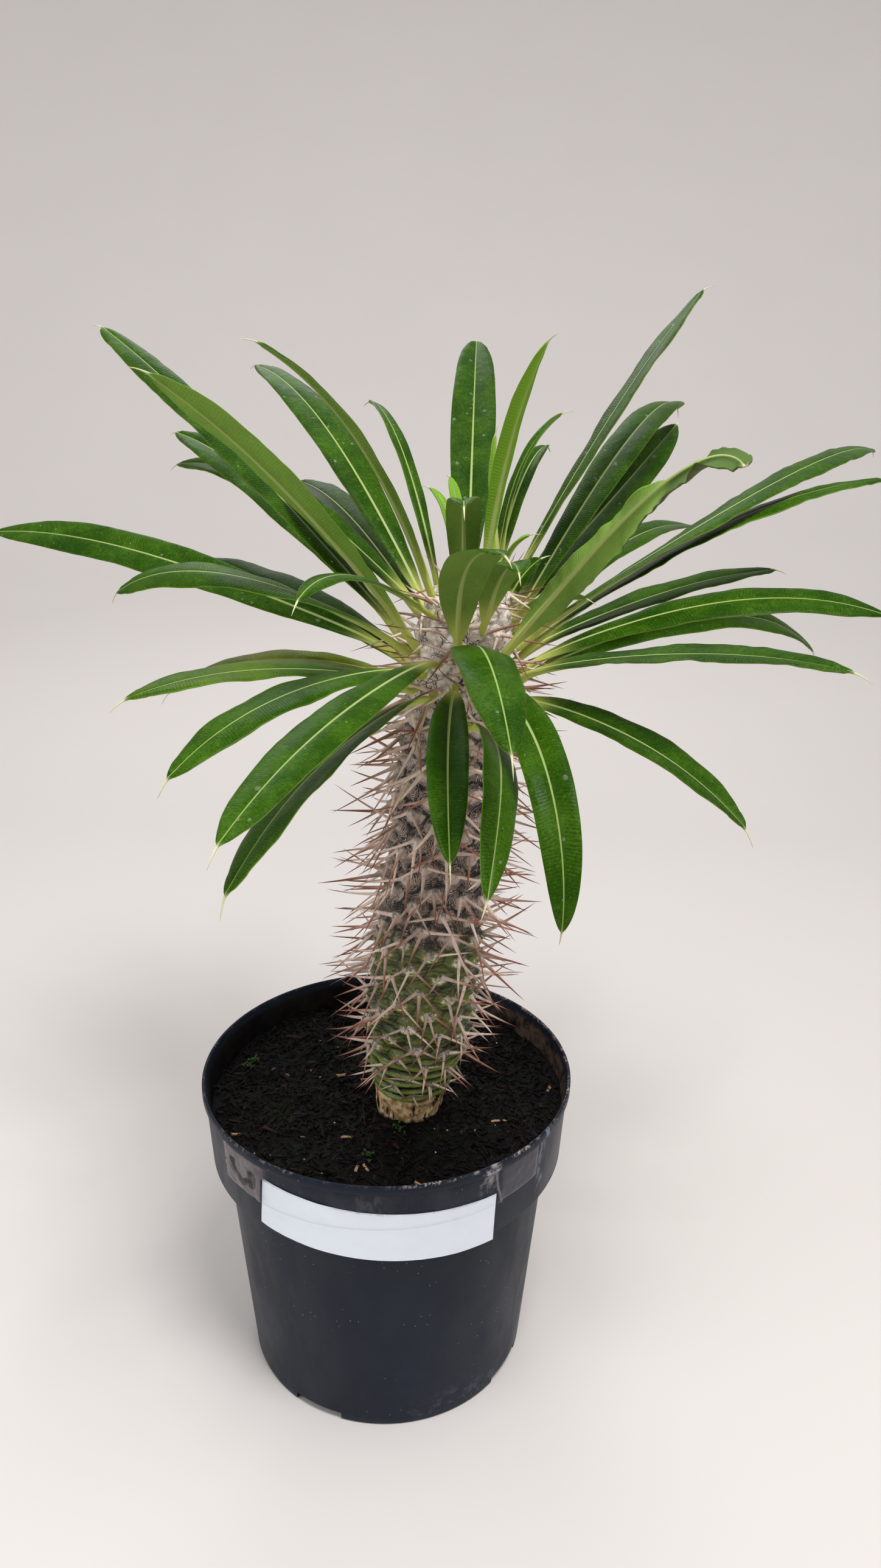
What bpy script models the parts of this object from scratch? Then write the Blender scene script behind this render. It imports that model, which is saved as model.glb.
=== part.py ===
"""A madagascar palm in its nursery pot: a leaning, swollen, spiny stem with a crown of strap
leaves, standing in bark compost in a round plastic pot. Metres, +Z up. The origin is the middle
of the pot's foot, on the surface that it stands on, and -Y is the side that the label is on."""

import math
import random

import bmesh
import bpy
import numpy as np
from mathutils import Vector, noise
from mathutils.bvhtree import BVHTree

MM = 0.001
GAP = 0.3 * MM

# The pot: (radius, height) in mm
POT_SIDES = 36
POT_HEIGHT = 210
RIM_RADIUS = 120
LIP_DEPTH = 6
COLLAR_TOP_RADIUS = 118
COLLAR_FOOT_RADIUS = 115.2
COLLAR_FOOT_HEIGHT = 157
BODY_TOP_RADIUS = 106
BODY_TOP_HEIGHT = 153
FOOT_RADIUS = 93
WALL = 2.2
FLOOR_TOP = 8.5
FLOOR_UNDERSIDE = 6.5
FOOT_RING_WIDTH = 5
HUB_RADIUS = 15
NOTCH_DIRECTIONS = (63, 151, 243, 331)
NOTCH_WIDTH = 34
NOTCH_HEIGHT = 5.5
DRAIN_HOLES = 8
DRAIN_RADIUS = 4.5
DRAIN_CIRCLE = 70

# The soil, in mm
SOIL_HEIGHT = 191
SOIL_RINGS = 8
SOIL_RELIEF = 2.2
HOLE_CLEARANCE = 0.4

# The stem: its foot stands off the pot's middle and it leans towards +X, in mm
STEM_FOOT = (14.4, -15.0)
STEM_LEAN = 0.0957
STEM_LEAN_FROM = 190
STEM_SIDES = 24
CROWN_FROM = 512
BURIED = ((112, 9), (128, 15.5), (160, 19), (188, 20.6))
STEM_RADII = (
    (192, 20.8), (200, 21.5), (212, 24), (223, 26.5), (238, 30), (254, 32.5), (275, 33.2),
    (298, 32.8), (346, 31.2), (400, 29.6), (450, 28.2), (495, 26.8), (514, 25), (528, 20),
    (537, 12), (541, 5),
)
RINGED_FROM = 196
RINGED_TOP = 236
RING_PITCH = 7
RING_DEPTH = 0.8
TUBERCLE_ROWS_APART = 7.5
OUTSIDE = 60
TUBERCLE_COUNT = 172
TUBERCLE_FROM = 212
TUBERCLE_STEP = 1.85
GOLDEN_ANGLE = 137.508
TUBERCLE_HEIGHT = 2.6
TUBERCLE_SPREAD = 7.5
TUBERCLES_GROW = (218, 245)
TUBERCLES_FADE = (435, 470)

# The spines, in mm: their length by height up the stem
SPINE_LENGTHS = ((200, 12), (225, 20), (255, 29), (300, 35), (380, 38), (470, 39), (530, 31))
SPINE_RADIUS = 0.95
SPINE_ROOT = 3.5
SPINE_CLEARANCE = 1.5
SPINE_SPREAD = 3.5
SPINE_BENDS = ((0, 0), (0, 14), (0, -14), (18, 6), (-18, 6), (0, 28), (0, -28))

# One row a leaf: direction round the stem, rise at its foot, droop by its tip, sideways sweep by
# its tip, roll about its midrib and further roll by its tip, in degrees, then its length, its
# width, how far its edges stand over its midrib and its foot's height, in mm
LEAVES = {
    "leaf_01": (165, 45, 20, -22, -2, -7, 271, 27, -1, 493),
    "leaf_02": (205, 51, 18, 6, 2, 26, 199, 26, 2, 500),
    "leaf_03": (145, 35, 30, -13, -17, -4, 249, 27, 1, 492),
    "leaf_04": (136, 38, 49, 5, 5, -29, 252, 26, 1, 484),
    "leaf_05": (206, 66, 39, 1, -11, 5, 162, 26, 1, 527),
    "leaf_06": (130, 46, 42, -8, -10, 5, 254, 26, 0, 506),
    "leaf_07": (118, 62, 64, -9, 18, 6, 176, 12, 1, 509),
    "leaf_08": (120, 29, 29, 0, 4, -11, 210, 26, 2, 494),
    "leaf_09": (165, 39, 0, 0, -4, -6, 103, 24, 1, 516),
    "leaf_10": (169, 19, 27, -18, -30, -10, 291, 26, 0, 489),
    "leaf_11": (194, 28, 63, -43, 29, -67, 186, 27, -2, 497),
    "leaf_12": (132, 15, 14, 12, -12, 2, 219, 26, 2, 474),
    "leaf_13": (224, 28, 48, 32, -6, -5, 132, 13, -1, 519),
    "leaf_14": (211, 14, 29, 3, -5, 3, 166, 27, 0, 480),
    "leaf_15": (174, 9, 46, 4, -9, 15, 145, 27, 2, 478),
    "leaf_16": (225, 5, 40, 3, -5, 1, 174, 27, -1, 491),
    "leaf_17": (244, -1, 20, 5, -10, 8, 220, 26, -1, 499),
    "leaf_18": (241, -2, 27, 9, 21, 0, 208, 26, 0, 480),
    "leaf_19": (265, -4, 34, 8, -3, 7, 159, 20, 4, 484),
    "leaf_20": (272, 23, 62, 6, -10, 10, 192, 27, -3, 495),
    "leaf_21": (285, 10, 59, -28, -33, -6, 181, 20, 0, 462),
    "leaf_22": (285, 11, 113, -3, 17, -1, 205, 21, 2, 483),
    "leaf_23": (327, -5, 30, -16, 19, -26, 161, 25, 2, 476),
    "leaf_24": (329, 16, 21, -5, 10, -5, 191, 26, 1, 485),
    "leaf_25": (355, 24, 43, 0, 14, 11, 210, 26, -1, 485),
    "leaf_26": (13, 19, 61, 22, 16, 16, 233, 24, 0, 475),
    "leaf_27": (22, 18, 19, 2, 2, 3, 188, 26, 1, 488),
    "leaf_28": (9, 34, 31, 2, -13, 17, 239, 26, -1, 490),
    "leaf_29": (357, 33, 43, 62, -20, 30, 300, 26, -1, 499),
    "leaf_30": (311, 44, 50, -44, -61, -110, 277, 26, 2, 493),
    "leaf_31": (42, 28, 48, 10, -1, 8, 225, 25, 1, 489),
    "leaf_32": (49, 27, 6, 10, 18, 10, 243, 28, 3, 501),
    "leaf_33": (35, 51, 69, 37, -2, 0, 267, 27, 0, 494),
    "leaf_34": (25, 56, 24, 23, -17, -9, 219, 26, 0, 523),
    "leaf_35": (88, 44, 23, 0, -4, 10, 236, 28, 3, 516),
    "leaf_36": (294, 74, 30, 2, 6, 13, 138, 12, 2, 533),
    "leaf_37": (27, 85, 60, 9, -12, 0, 102, 10, 1, 531),
    "leaf_38": (46, 75, 82, 24, 3, -8, 107, 13, 2, 525),
    "leaf_39": (350, 95, 8, 0, 0, 0, 76, 11, 2, 534),
    "leaf_40": (264, 51, 59, 29, 2, -7, 132, 25, -1, 502),
    "leaf_41": (289, 53, 72, -14, 5, -1, 90, 20, 1, 513),
    "leaf_42": (266, 62, 75, 4, 6, -2, 123, 17, 2, 517),
    "leaf_43": (74, 10, 28, 0, 0, 0, 225, 27, 4, 484),
    "leaf_44": (10, 62, 30, 0, 30, 0, 30, 12, 2, 521),
    "leaf_45": (350, 26, 35, -10, -20, 0, 44, 14, 2, 516),
    "leaf_46": (120, 86, 62, 20, 0, 0, 54, 8, 1, 532),
    "leaf_47": (105, 82, 60, 0, 0, 0, 62, 7, 1, 531),
    "leaf_48": (330, 82, 60, 20, 0, 0, 36, 6, 1, 530),
}
LEAF_STEPS = 60

# Stations along a leaf as a share of its length, each with its share of the full width
BLADE = (
    (0.0, 0.16), (0.05, 0.14), (0.15, 0.42), (0.3, 0.76), (0.5, 0.98), (0.7, 0.97),
    (0.85, 0.76), (0.95, 0.38), (1.0, 0.05),
)
EDGE_THICKNESS = 0.8
EDGE_WAVE = 0.8
KEEL_AT_FOOT = 2.4
KEEL_AT_TIP = 0.5
BRISTLE = 11
PETIOLE_HALF = 2.3
HOOK_DEPTH = 4
HOOK_REACH = 9
FULL_LEAF_WIDTH = 27

# The label and the tape on the collar: directions in degrees, heights and thickness in mm
LABEL_FROM = 233.2
LABEL_TO = 305.7
LABEL_MIDDLE_TOP = 189.4
LABEL_TALL = 35
LABEL_TILT = -9.1
LABEL_SAG = 1.8
LABEL_SLANT = 2.2
LABEL_THICKNESS = 0.6
TAPE_FROM = 214
TAPE_TO = 323.3
TAPE_TOP = 203
TAPE_FOOT = 178.2
TAPE_TILT = 4.5
TAPE_THICKNESS = 0.4
TAPE_LIFT = 1.2

COLOURS = {
    "pot_plastic": ((0.022, 0.034, 0.048), 0.42),
    "soil_mix": ((0.012, 0.009, 0.007), 0.95),
    "stem_bark": ((0.28, 0.25, 0.21), 0.8),
    "leaf_green": ((0.03, 0.14, 0.02), 0.35),
    "label_paper": ((0.82, 0.83, 0.86), 0.7),
    "clear_tape": ((0.3, 0.27, 0.26), 0.2),
}


def clear_scene():
    for obj in list(bpy.data.objects):
        bpy.data.objects.remove(obj, do_unlink=True)


def new_collection(name):
    collection = bpy.data.collections.new(name)
    bpy.context.scene.collection.children.link(collection)
    return collection


def material(name):
    colour, roughness = COLOURS[name]
    finish = bpy.data.materials.new(name)
    finish.use_nodes = True
    shader = finish.node_tree.nodes["Principled BSDF"]
    shader.inputs["Base Color"].default_value = (*colour, 1.0)
    shader.inputs["Roughness"].default_value = roughness
    shader.inputs["Metallic"].default_value = 0.0
    return finish


def new_object(name, mesh, collection, finish=None):
    obj = bpy.data.objects.new(name, mesh)
    collection.objects.link(obj)
    if finish:
        mesh.materials.append(finish)
    return obj


def shade_round(obj, degrees):
    obj.data.shade_smooth()
    obj.data.set_sharp_from_angle(angle=math.radians(degrees))


def apply_modifiers(obj):
    graph = bpy.context.evaluated_depsgraph_get()
    mesh = bpy.data.meshes.new_from_object(obj.evaluated_get(graph))
    obj.modifiers.clear()
    obj.data = mesh


def smooth_ramp(value, start, end):
    share = min(1.0, max(0.0, (value - start) / (end - start)))
    return share * share * (3.0 - 2.0 * share)


def loft(name, rings, mirrored=()):
    """A closed skin over rings of equally many points. The sides listed in mirrored are split
    along their other diagonal, so that both faces of a thin blade are split alike."""
    bm = bmesh.new()
    rows = [[bm.verts.new(point) for point in ring] for ring in rings]
    count = len(rings[0])
    for lower, upper in zip(rows, rows[1:]):
        for k in range(count):
            after = (k + 1) % count
            a, b, c, d = lower[k], lower[after], upper[after], upper[k]
            if k in mirrored:
                bm.faces.new((a, b, d))
                bm.faces.new((b, c, d))
            else:
                bm.faces.new((a, b, c))
                bm.faces.new((a, c, d))
    for row in (rows[0], rows[-1]):
        for k in range(count // 2 - 1):
            bm.faces.new((row[k], row[k + 1], row[count - 2 - k], row[count - 1 - k]))
    bmesh.ops.recalc_face_normals(bm, faces=bm.faces)
    mesh = bpy.data.meshes.new(name)
    bm.to_mesh(mesh)
    bm.free()
    return mesh


def circle(centre, radius, height, sides):
    turns = (2.0 * math.pi * k / sides for k in range(sides))
    return [
        Vector((centre[0] + radius * math.cos(a), centre[1] + radius * math.sin(a), height)) * MM
        for a in turns
    ]


def inner_wall():
    """The pot's inner profile in mm, from the floor's edge up to just under the rim."""
    return [
        (FOOT_RADIUS - WALL - 1.5, FLOOR_TOP),
        (FOOT_RADIUS - WALL + 0.4, FLOOR_TOP + 2),
        (BODY_TOP_RADIUS - WALL, BODY_TOP_HEIGHT - 1),
        (COLLAR_FOOT_RADIUS - WALL - 0.4, COLLAR_FOOT_HEIGHT + 1),
        (COLLAR_TOP_RADIUS - WALL, POT_HEIGHT - LIP_DEPTH),
        (RIM_RADIUS - WALL - 0.4, POT_HEIGHT - 0.8),
    ]


def make_pot(collection, cutters):
    foot_inside = FOOT_RADIUS - FOOT_RING_WIDTH
    profile = [(0, FLOOR_TOP), *inner_wall()]
    profile += [
        (RIM_RADIUS - WALL + 0.3, POT_HEIGHT),
        (RIM_RADIUS - 0.7, POT_HEIGHT),
        (RIM_RADIUS, POT_HEIGHT - 0.8),
        (RIM_RADIUS, POT_HEIGHT - LIP_DEPTH + 0.5),
        (RIM_RADIUS - 0.5, POT_HEIGHT - LIP_DEPTH),
        (COLLAR_TOP_RADIUS, POT_HEIGHT - LIP_DEPTH - 0.5),
        (COLLAR_FOOT_RADIUS, COLLAR_FOOT_HEIGHT),
        (COLLAR_FOOT_RADIUS - 1, COLLAR_FOOT_HEIGHT - 1),
        (BODY_TOP_RADIUS, BODY_TOP_HEIGHT),
        (FOOT_RADIUS + 0.1, 1.2),
        (FOOT_RADIUS - 0.8, 0),
        (foot_inside, 0),
        (foot_inside - 0.4, FLOOR_UNDERSIDE),
        (HUB_RADIUS + 1.5, FLOOR_UNDERSIDE),
        (HUB_RADIUS, 0),
        (0, 0),
    ]
    mesh = bpy.data.meshes.new("pot")
    points = [(radius * MM, 0.0, height * MM) for radius, height in profile]
    mesh.from_pydata(points, [(k, k + 1) for k in range(len(points) - 1)], [])
    pot = new_object("pot", mesh, collection, material("pot_plastic"))
    screw = pot.modifiers.new("turned", "SCREW")
    screw.steps = POT_SIDES
    screw.render_steps = POT_SIDES
    screw.use_merge_vertices = True
    screw.merge_threshold = 0.00001
    for direction in NOTCH_DIRECTIONS:
        cutter = box_cutter(f"notch_{direction}", cutters, direction)
        cut(pot, cutter)
    for k in range(DRAIN_HOLES):
        cutter = hole_cutter(f"drain_{k}", cutters, 360.0 * (k + 0.5) / DRAIN_HOLES)
        cut(pot, cutter)
    apply_modifiers(pot)
    shade_round(pot, 35)
    return pot


def hide_cutter(cutter):
    cutter.hide_render = True
    cutter.display_type = "WIRE"
    return cutter


def box_cutter(name, cutters, direction):
    mesh = bpy.data.meshes.new(name)
    bm = bmesh.new()
    bmesh.ops.create_cube(bm, size=1.0)
    deep = FOOT_RING_WIDTH * 2.4
    bmesh.ops.scale(bm, vec=Vector((deep, NOTCH_WIDTH, NOTCH_HEIGHT * 2)) * MM, verts=bm.verts)
    bm.to_mesh(mesh)
    bm.free()
    cutter = hide_cutter(new_object(name, mesh, cutters))
    turn = math.radians(direction)
    reach = FOOT_RADIUS * MM
    cutter.location = (reach * math.cos(turn), reach * math.sin(turn), 0.0)
    cutter.rotation_euler = (0.0, 0.0, turn)
    return cutter


def hole_cutter(name, cutters, direction):
    mesh = bpy.data.meshes.new(name)
    bm = bmesh.new()
    radius = DRAIN_RADIUS * MM
    bmesh.ops.create_cone(
        bm, cap_ends=True, segments=10, radius1=radius, radius2=radius, depth=FLOOR_TOP * MM
    )
    bm.to_mesh(mesh)
    bm.free()
    cutter = hide_cutter(new_object(name, mesh, cutters))
    turn = math.radians(direction)
    reach = DRAIN_CIRCLE * MM
    cutter.location = (reach * math.cos(turn), reach * math.sin(turn), FLOOR_TOP * MM)
    return cutter


def cut(obj, cutter):
    boolean = obj.modifiers.new(cutter.name, "BOOLEAN")
    boolean.operation = "DIFFERENCE"
    boolean.object = cutter


def stem_centre(height):
    lean = max(0.0, height - STEM_LEAN_FROM) * STEM_LEAN
    return (STEM_FOOT[0] + lean, STEM_FOOT[1])


def stem_radius(height):
    heights, radii = zip(*(BURIED + STEM_RADII))
    return float(np.interp(height, heights, radii))


def tubercles():
    """Height and direction of each tubercle, on one spiral round the stem."""
    for k in range(TUBERCLE_COUNT):
        yield TUBERCLE_FROM + TUBERCLE_STEP * k, math.radians(GOLDEN_ANGLE * k)


def stem_relief(height, direction):
    """How far the skin stands out of the plain stem, in mm: low rings at the foot, then one
    swelling for each tubercle, which flatten towards the crown."""
    rings = RING_DEPTH * math.cos(2.0 * math.pi * height / RING_PITCH)
    rings *= smooth_ramp(height, RINGED_FROM, RINGED_FROM + RING_PITCH)
    rings *= 1.0 - smooth_ramp(height, RINGED_TOP - 10, RINGED_TOP)
    radius = stem_radius(height)
    swell = 0.0
    for top, side in tubercles():
        rise = abs(height - top)
        if rise < 2.2 * TUBERCLE_SPREAD:
            turn = (direction - side + math.pi) % (2.0 * math.pi) - math.pi
            away = math.hypot(rise, radius * turn) / TUBERCLE_SPREAD
            swell = max(swell, math.exp(-away * away))
    grown = smooth_ramp(height, *TUBERCLES_GROW)
    swell *= grown * (1.0 - 0.8 * smooth_ramp(height, *TUBERCLES_FADE))
    return rings + TUBERCLE_HEIGHT * (swell - 0.4 * grown)


def stem_ring(height):
    centre = stem_centre(height)
    ring = []
    for k in range(STEM_SIDES):
        direction = 2.0 * math.pi * k / STEM_SIDES
        radius = stem_radius(height) + stem_relief(height, direction) * (height < CROWN_FROM + 8)
        x = centre[0] + radius * math.cos(direction)
        y = centre[1] + radius * math.sin(direction)
        ring.append(Vector((x, y, height)) * MM)
    return ring


def stem_heights():
    heights = [height for height, _ in BURIED]
    heights += list(np.arange(STEM_RADII[0][0], RINGED_TOP, RING_PITCH / 2))
    heights += list(np.arange(RINGED_TOP + 3, CROWN_FROM, TUBERCLE_ROWS_APART))
    heights += [height for height, _ in STEM_RADII if height > CROWN_FROM]
    return heights


def surface_tree(meshes):
    points = []
    faces = []
    for mesh in meshes:
        start = len(points)
        points += [vertex.co.copy() for vertex in mesh.vertices]
        faces += [[start + k for k in face.vertices] for face in mesh.polygons]
    return BVHTree.FromPolygons(points, faces)


def leaf_midrib(row):
    """Points along a leaf's midrib, with its run, its left side and its upper side at each."""
    turn, rise, droop, sweep, roll, twist, length, width, _, foot = row
    centre = stem_centre(foot)
    first = math.radians(turn)
    reach = stem_radius(foot)
    x = centre[0] + reach * math.cos(first)
    y = centre[1] + reach * math.sin(first)
    point = Vector((x, y, foot)) * MM
    frames = []
    for k in range(LEAF_STEPS + 1):
        share = k / LEAF_STEPS
        pitch = math.radians(rise - droop * share * share)
        yaw = math.radians(turn + sweep * share)
        flat = Vector((math.cos(yaw), math.sin(yaw), 0.0))
        run = flat * math.cos(pitch) + Vector((0.0, 0.0, math.sin(pitch)))
        left = Vector((-math.sin(yaw), math.cos(yaw), 0.0))
        above = run.cross(left)
        lean = math.radians(roll + twist * share)
        side = left * math.cos(lean) + above * math.sin(lean)
        hook = HOOK_DEPTH * math.exp(-((share * length / HOOK_REACH) ** 2)) * flat.dot(run)
        hook *= min(1.0, width / FULL_LEAF_WIDTH)
        frames.append((point - Vector((0.0, 0.0, hook * MM)), run, side, run.cross(side)))
        point += run * (length * MM / LEAF_STEPS)
    return frames


def leaf_section(frame, half, keel, wave, fold):
    """Six points round a blade's section: its upper face from left to right, then its lower
    face back, with the midrib standing out below."""
    point, _, side, up = frame
    edge = EDGE_THICKNESS / 2
    offsets = (
        (half, fold + edge + wave), (0, edge), (-half, fold + edge - wave),
        (-half, fold - edge - wave), (0, -edge - keel), (half, fold - edge + wave),
    )
    return [point + (side * across + up * rise) * MM for across, rise in offsets]


def seat(point, run, stem_skin):
    """Where a petiole's edge that runs back along its leaf meets the stem, a small gap clear."""
    hit, normal, _, _ = stem_skin.ray_cast(point + run * OUTSIDE / 4 * MM, -run)
    if hit is None:
        return point
    return hit + run * GAP / max(0.4, abs(run.dot(normal)))


def leaf_rings(row, draw, stem_skin):
    frames = leaf_midrib(row)
    length, width, cup = row[6:9]
    petiole = PETIOLE_HALF * (0.4 + 0.6 * min(1.0, width / FULL_LEAF_WIDTH))
    phase = draw.uniform(0.0, 6.0)
    rings = []
    for share, wide in BLADE:
        frame = frames[round(share * LEAF_STEPS)]
        half = max(width / 2 * wide, petiole if share < 0.1 else 0.0)
        keel = KEEL_AT_FOOT + (KEEL_AT_TIP - KEEL_AT_FOOT) * share
        keel *= smooth_ramp(width, 2, 20) * 0.5 + 0.5
        wave = EDGE_WAVE * math.sin(phase + 26 * share) * smooth_ramp(share, 0.15, 0.4)
        wave *= (share < 0.95) * width / FULL_LEAF_WIDTH
        rings.append(leaf_section(frame, half, keel, wave, cup * wide))
    run = frames[0][1]
    rings[0] = [seat(point, run, stem_skin) for point in rings[0]]
    tip = frames[-1]
    bristle = BRISTLE * (0.5 + 0.5 * min(1.0, length / 200))
    end = tip[0] + (tip[1] - tip[3] * 0.35).normalized() * bristle * MM
    rings.append(leaf_section((end, *tip[1:]), 0.35, 0.0, 0.0, 0.0))
    return rings


def make_leaves(collection, stem_skin):
    finish = material("leaf_green")
    draw = random.Random(5)
    leaves = []
    for name, row in LEAVES.items():
        mesh = loft(name, leaf_rings(row, draw, stem_skin), mirrored=(3, 4))
        leaf = new_object(name, mesh, collection, finish)
        shade_round(leaf, 50)
        leaves.append(leaf)
    return leaves


def spine_run(direction, yaw, pitch):
    turn = direction + math.radians(yaw)
    lift = math.radians(pitch)
    level = math.cos(lift)
    return Vector((level * math.cos(turn), level * math.sin(turn), math.sin(lift)))


def spine_rows(draw):
    """Foot height and direction, yaw and pitch of the spine and its share of the full length:
    three for each tubercle, then two beside the foot of each leaf."""
    for height, direction in tubercles():
        tilt = draw.uniform(-6, 10)
        for side in (-1, 1):
            yaw = side * draw.uniform(32, 48)
            pitch = tilt + draw.uniform(-6, 6)
            yield height, direction + side * SPINE_SPREAD / stem_radius(height), yaw, pitch, 1.0
        yield height - 4, direction, draw.uniform(-12, 12), draw.uniform(-30, -12), 0.55
    for row in LEAVES.values():
        turn, rise, foot = row[0], row[1], row[-1]
        for side in (-1, 1):
            direction = math.radians(turn + side * 10)
            yaw = side * draw.uniform(28, 48)
            yield foot - 4, direction, yaw, 0.3 * rise + draw.uniform(0, 14), 1.0


def clear_of(start, end, skin):
    run = end - start
    length = run.length
    steps = max(3, int(length / (SPINE_CLEARANCE * MM)))
    if skin.ray_cast(start, run, length)[0] is not None:
        return False
    return all(
        skin.find_nearest(start + run * (k / steps), SPINE_CLEARANCE * MM)[0] is None
        for k in range(steps + 1)
    )


def spine_ring(point, run, radius):
    across = run.orthogonal().normalized()
    over = run.cross(across)
    turns = (2.0 * math.pi * k / 3 for k in range(3))
    return [point + (across * math.cos(a) + over * math.sin(a)) * radius * MM for a in turns]


def spine_mesh(name, foot, run, length):
    bm = bmesh.new()
    ring = [bm.verts.new(point) for point in spine_ring(foot, run, SPINE_RADIUS)]
    tip = bm.verts.new(foot + run * length)
    bm.faces.new(ring)
    for k in range(3):
        bm.faces.new((ring[k], ring[(k + 1) % 3], tip))
    bmesh.ops.recalc_face_normals(bm, faces=bm.faces)
    mesh = bpy.data.meshes.new(name)
    bm.to_mesh(mesh)
    bm.free()
    return mesh


def make_spines(collection, stem, others):
    """Spines that stand on the stem's skin, each in the middle of a face of its own, so that
    their roots split few faces. One that would touch a leaf or the soil is bent clear of it, or
    left out where no bend clears it."""
    draw = random.Random(11)
    heights, lengths = zip(*SPINE_LENGTHS)
    stem_skin = surface_tree([stem])
    taken = set()
    for number, (height, direction, yaw, pitch, share) in enumerate(spine_rows(draw)):
        length = float(np.interp(height, heights, lengths)) * share * draw.uniform(0.88, 1.12)
        centre = stem_centre(height)
        axis = Vector((centre[0], centre[1], height)) * MM
        outward = spine_run(direction, 0, 0)
        face = stem_skin.ray_cast(axis + outward * OUTSIDE * MM, -outward)[2]
        if face is None or face in taken:
            continue
        seat_point = stem.polygons[face].center
        for bend, lift in SPINE_BENDS:
            run = spine_run(direction, yaw + bend, pitch + lift)
            if clear_of(seat_point - run * MM, seat_point + run * length * MM, others):
                taken.add(face)
                foot = seat_point - run * SPINE_ROOT * MM
                mesh = spine_mesh(f"spine_{number}", foot, run, (length + SPINE_ROOT) * MM)
                new_object(mesh.name, mesh, collection)
                break


def make_stem_mesh():
    return loft("trunk", [stem_ring(height) for height in stem_heights()])


def make_trunk(collection, mesh, leaves, soil):
    trunk = new_object("trunk", mesh, collection, material("stem_bark"))
    spines = new_collection("spines")
    others = surface_tree([leaf.data for leaf in leaves] + [soil.data])
    make_spines(spines, mesh, others)
    union = trunk.modifiers.new("spines", "BOOLEAN")
    union.operation = "UNION"
    union.operand_type = "COLLECTION"
    union.collection = spines
    bpy.context.view_layer.update()
    apply_modifiers(trunk)
    for spine in list(spines.objects):
        bpy.data.objects.remove(spine, do_unlink=True)
    bpy.data.collections.remove(spines)
    shade_round(trunk, 40)
    return trunk


def soil_top_ring(share):
    """A ring of the soil's surface, between the hole round the stem and the pot's wall."""
    hole = stem_radius(SOIL_HEIGHT) + HOLE_CLEARANCE
    radii, heights = zip(*inner_wall())
    wall = float(np.interp(SOIL_HEIGHT, heights, radii)) - GAP / MM
    blend = 1.0 - share
    centre = (STEM_FOOT[0] * blend, STEM_FOOT[1] * blend)
    ring = circle(centre, hole * blend + wall * share, SOIL_HEIGHT, POT_SIDES)
    fade = smooth_ramp(share, 0.0, 0.12) * (1.0 - 0.7 * smooth_ramp(share, 0.85, 1.0))
    for point in ring:
        point.z += SOIL_RELIEF * MM * fade * noise.noise(point * 70)
    return ring


def make_soil(collection):
    rings = []
    for height, radius in BURIED:
        level = height - HOLE_CLEARANCE
        rings.append(circle(STEM_FOOT, radius + HOLE_CLEARANCE, level, POT_SIDES))
    rings += [soil_top_ring(k / (SOIL_RINGS - 1)) for k in range(SOIL_RINGS)]
    for radius, height in reversed(inner_wall()[:4]):
        rings.append(circle((0, 0), radius - GAP / MM, height + GAP / MM, POT_SIDES))
    soil = new_object("soil", loft("soil", rings), collection, material("soil_mix"))
    shade_round(soil, 60)
    return soil


def collar_radius(height):
    heights = (COLLAR_FOOT_HEIGHT, POT_HEIGHT - LIP_DEPTH)
    return COLLAR_FOOT_RADIUS + (COLLAR_TOP_RADIUS - COLLAR_FOOT_RADIUS) * (
        (height - heights[0]) / (heights[1] - heights[0])
    )


def label_top(degrees):
    share = (degrees - LABEL_FROM) / (LABEL_TO - LABEL_FROM) - 0.5
    return LABEL_MIDDLE_TOP + LABEL_TILT * share + 4 * LABEL_SAG * share * share


def tape_lift(degrees, height):
    beyond = max(LABEL_FROM - degrees, degrees - LABEL_TO, 0.0)
    ends = 1.0 - smooth_ramp(beyond, 1.8, 4.5)
    over = 1.0 - smooth_ramp(height - label_top(degrees), 1.5, 7.0)
    return TAPE_LIFT * ends * over


def strip(name, collection, columns, rows, place, thickness, finish):
    """A thin strip bent round the collar: place gives direction, radius and height from the
    shares along and up it."""
    bm = bmesh.new()
    bmesh.ops.create_grid(bm, x_segments=columns, y_segments=rows, size=0.5)
    for vertex in bm.verts:
        degrees, radius, height = place(vertex.co.x + 0.5, vertex.co.y + 0.5)
        turn = math.radians(degrees)
        vertex.co = Vector((radius * math.cos(turn), radius * math.sin(turn), height)) * MM
    bmesh.ops.recalc_face_normals(bm, faces=bm.faces)
    face = next(iter(bm.faces))
    centre = face.calc_center_median()
    if face.normal.dot(Vector((centre.x, centre.y, 0.0))) < 0:
        bmesh.ops.reverse_faces(bm, faces=bm.faces)
    mesh = bpy.data.meshes.new(name)
    bm.to_mesh(mesh)
    bm.free()
    sheet = new_object(name, mesh, collection, finish)
    solid = sheet.modifiers.new("thickness", "SOLIDIFY")
    solid.thickness = thickness * MM
    solid.offset = 1.0
    return sheet


def make_label(collection):
    def place(along, up):
        degrees = LABEL_FROM + (LABEL_TO - LABEL_FROM) * along
        height = label_top(degrees) - LABEL_TALL * (1.0 - up)
        degrees += LABEL_SLANT * (1.0 - along) * (up - 0.5)
        return degrees, collar_radius(height) + GAP / MM, height

    strip("label", collection, 16, 1, place, LABEL_THICKNESS, material("label_paper"))


def make_tape(collection):
    def place(along, up):
        degrees = TAPE_FROM + (TAPE_TO - TAPE_FROM) * along
        foot = TAPE_FOOT + TAPE_TILT * (along - 0.5)
        height = foot + (TAPE_TOP - foot) * up
        lift = tape_lift(degrees, height)
        return degrees, collar_radius(height) + GAP / MM + lift, height

    strip("tape", collection, 28, 4, place, TAPE_THICKNESS, material("clear_tape"))


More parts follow.
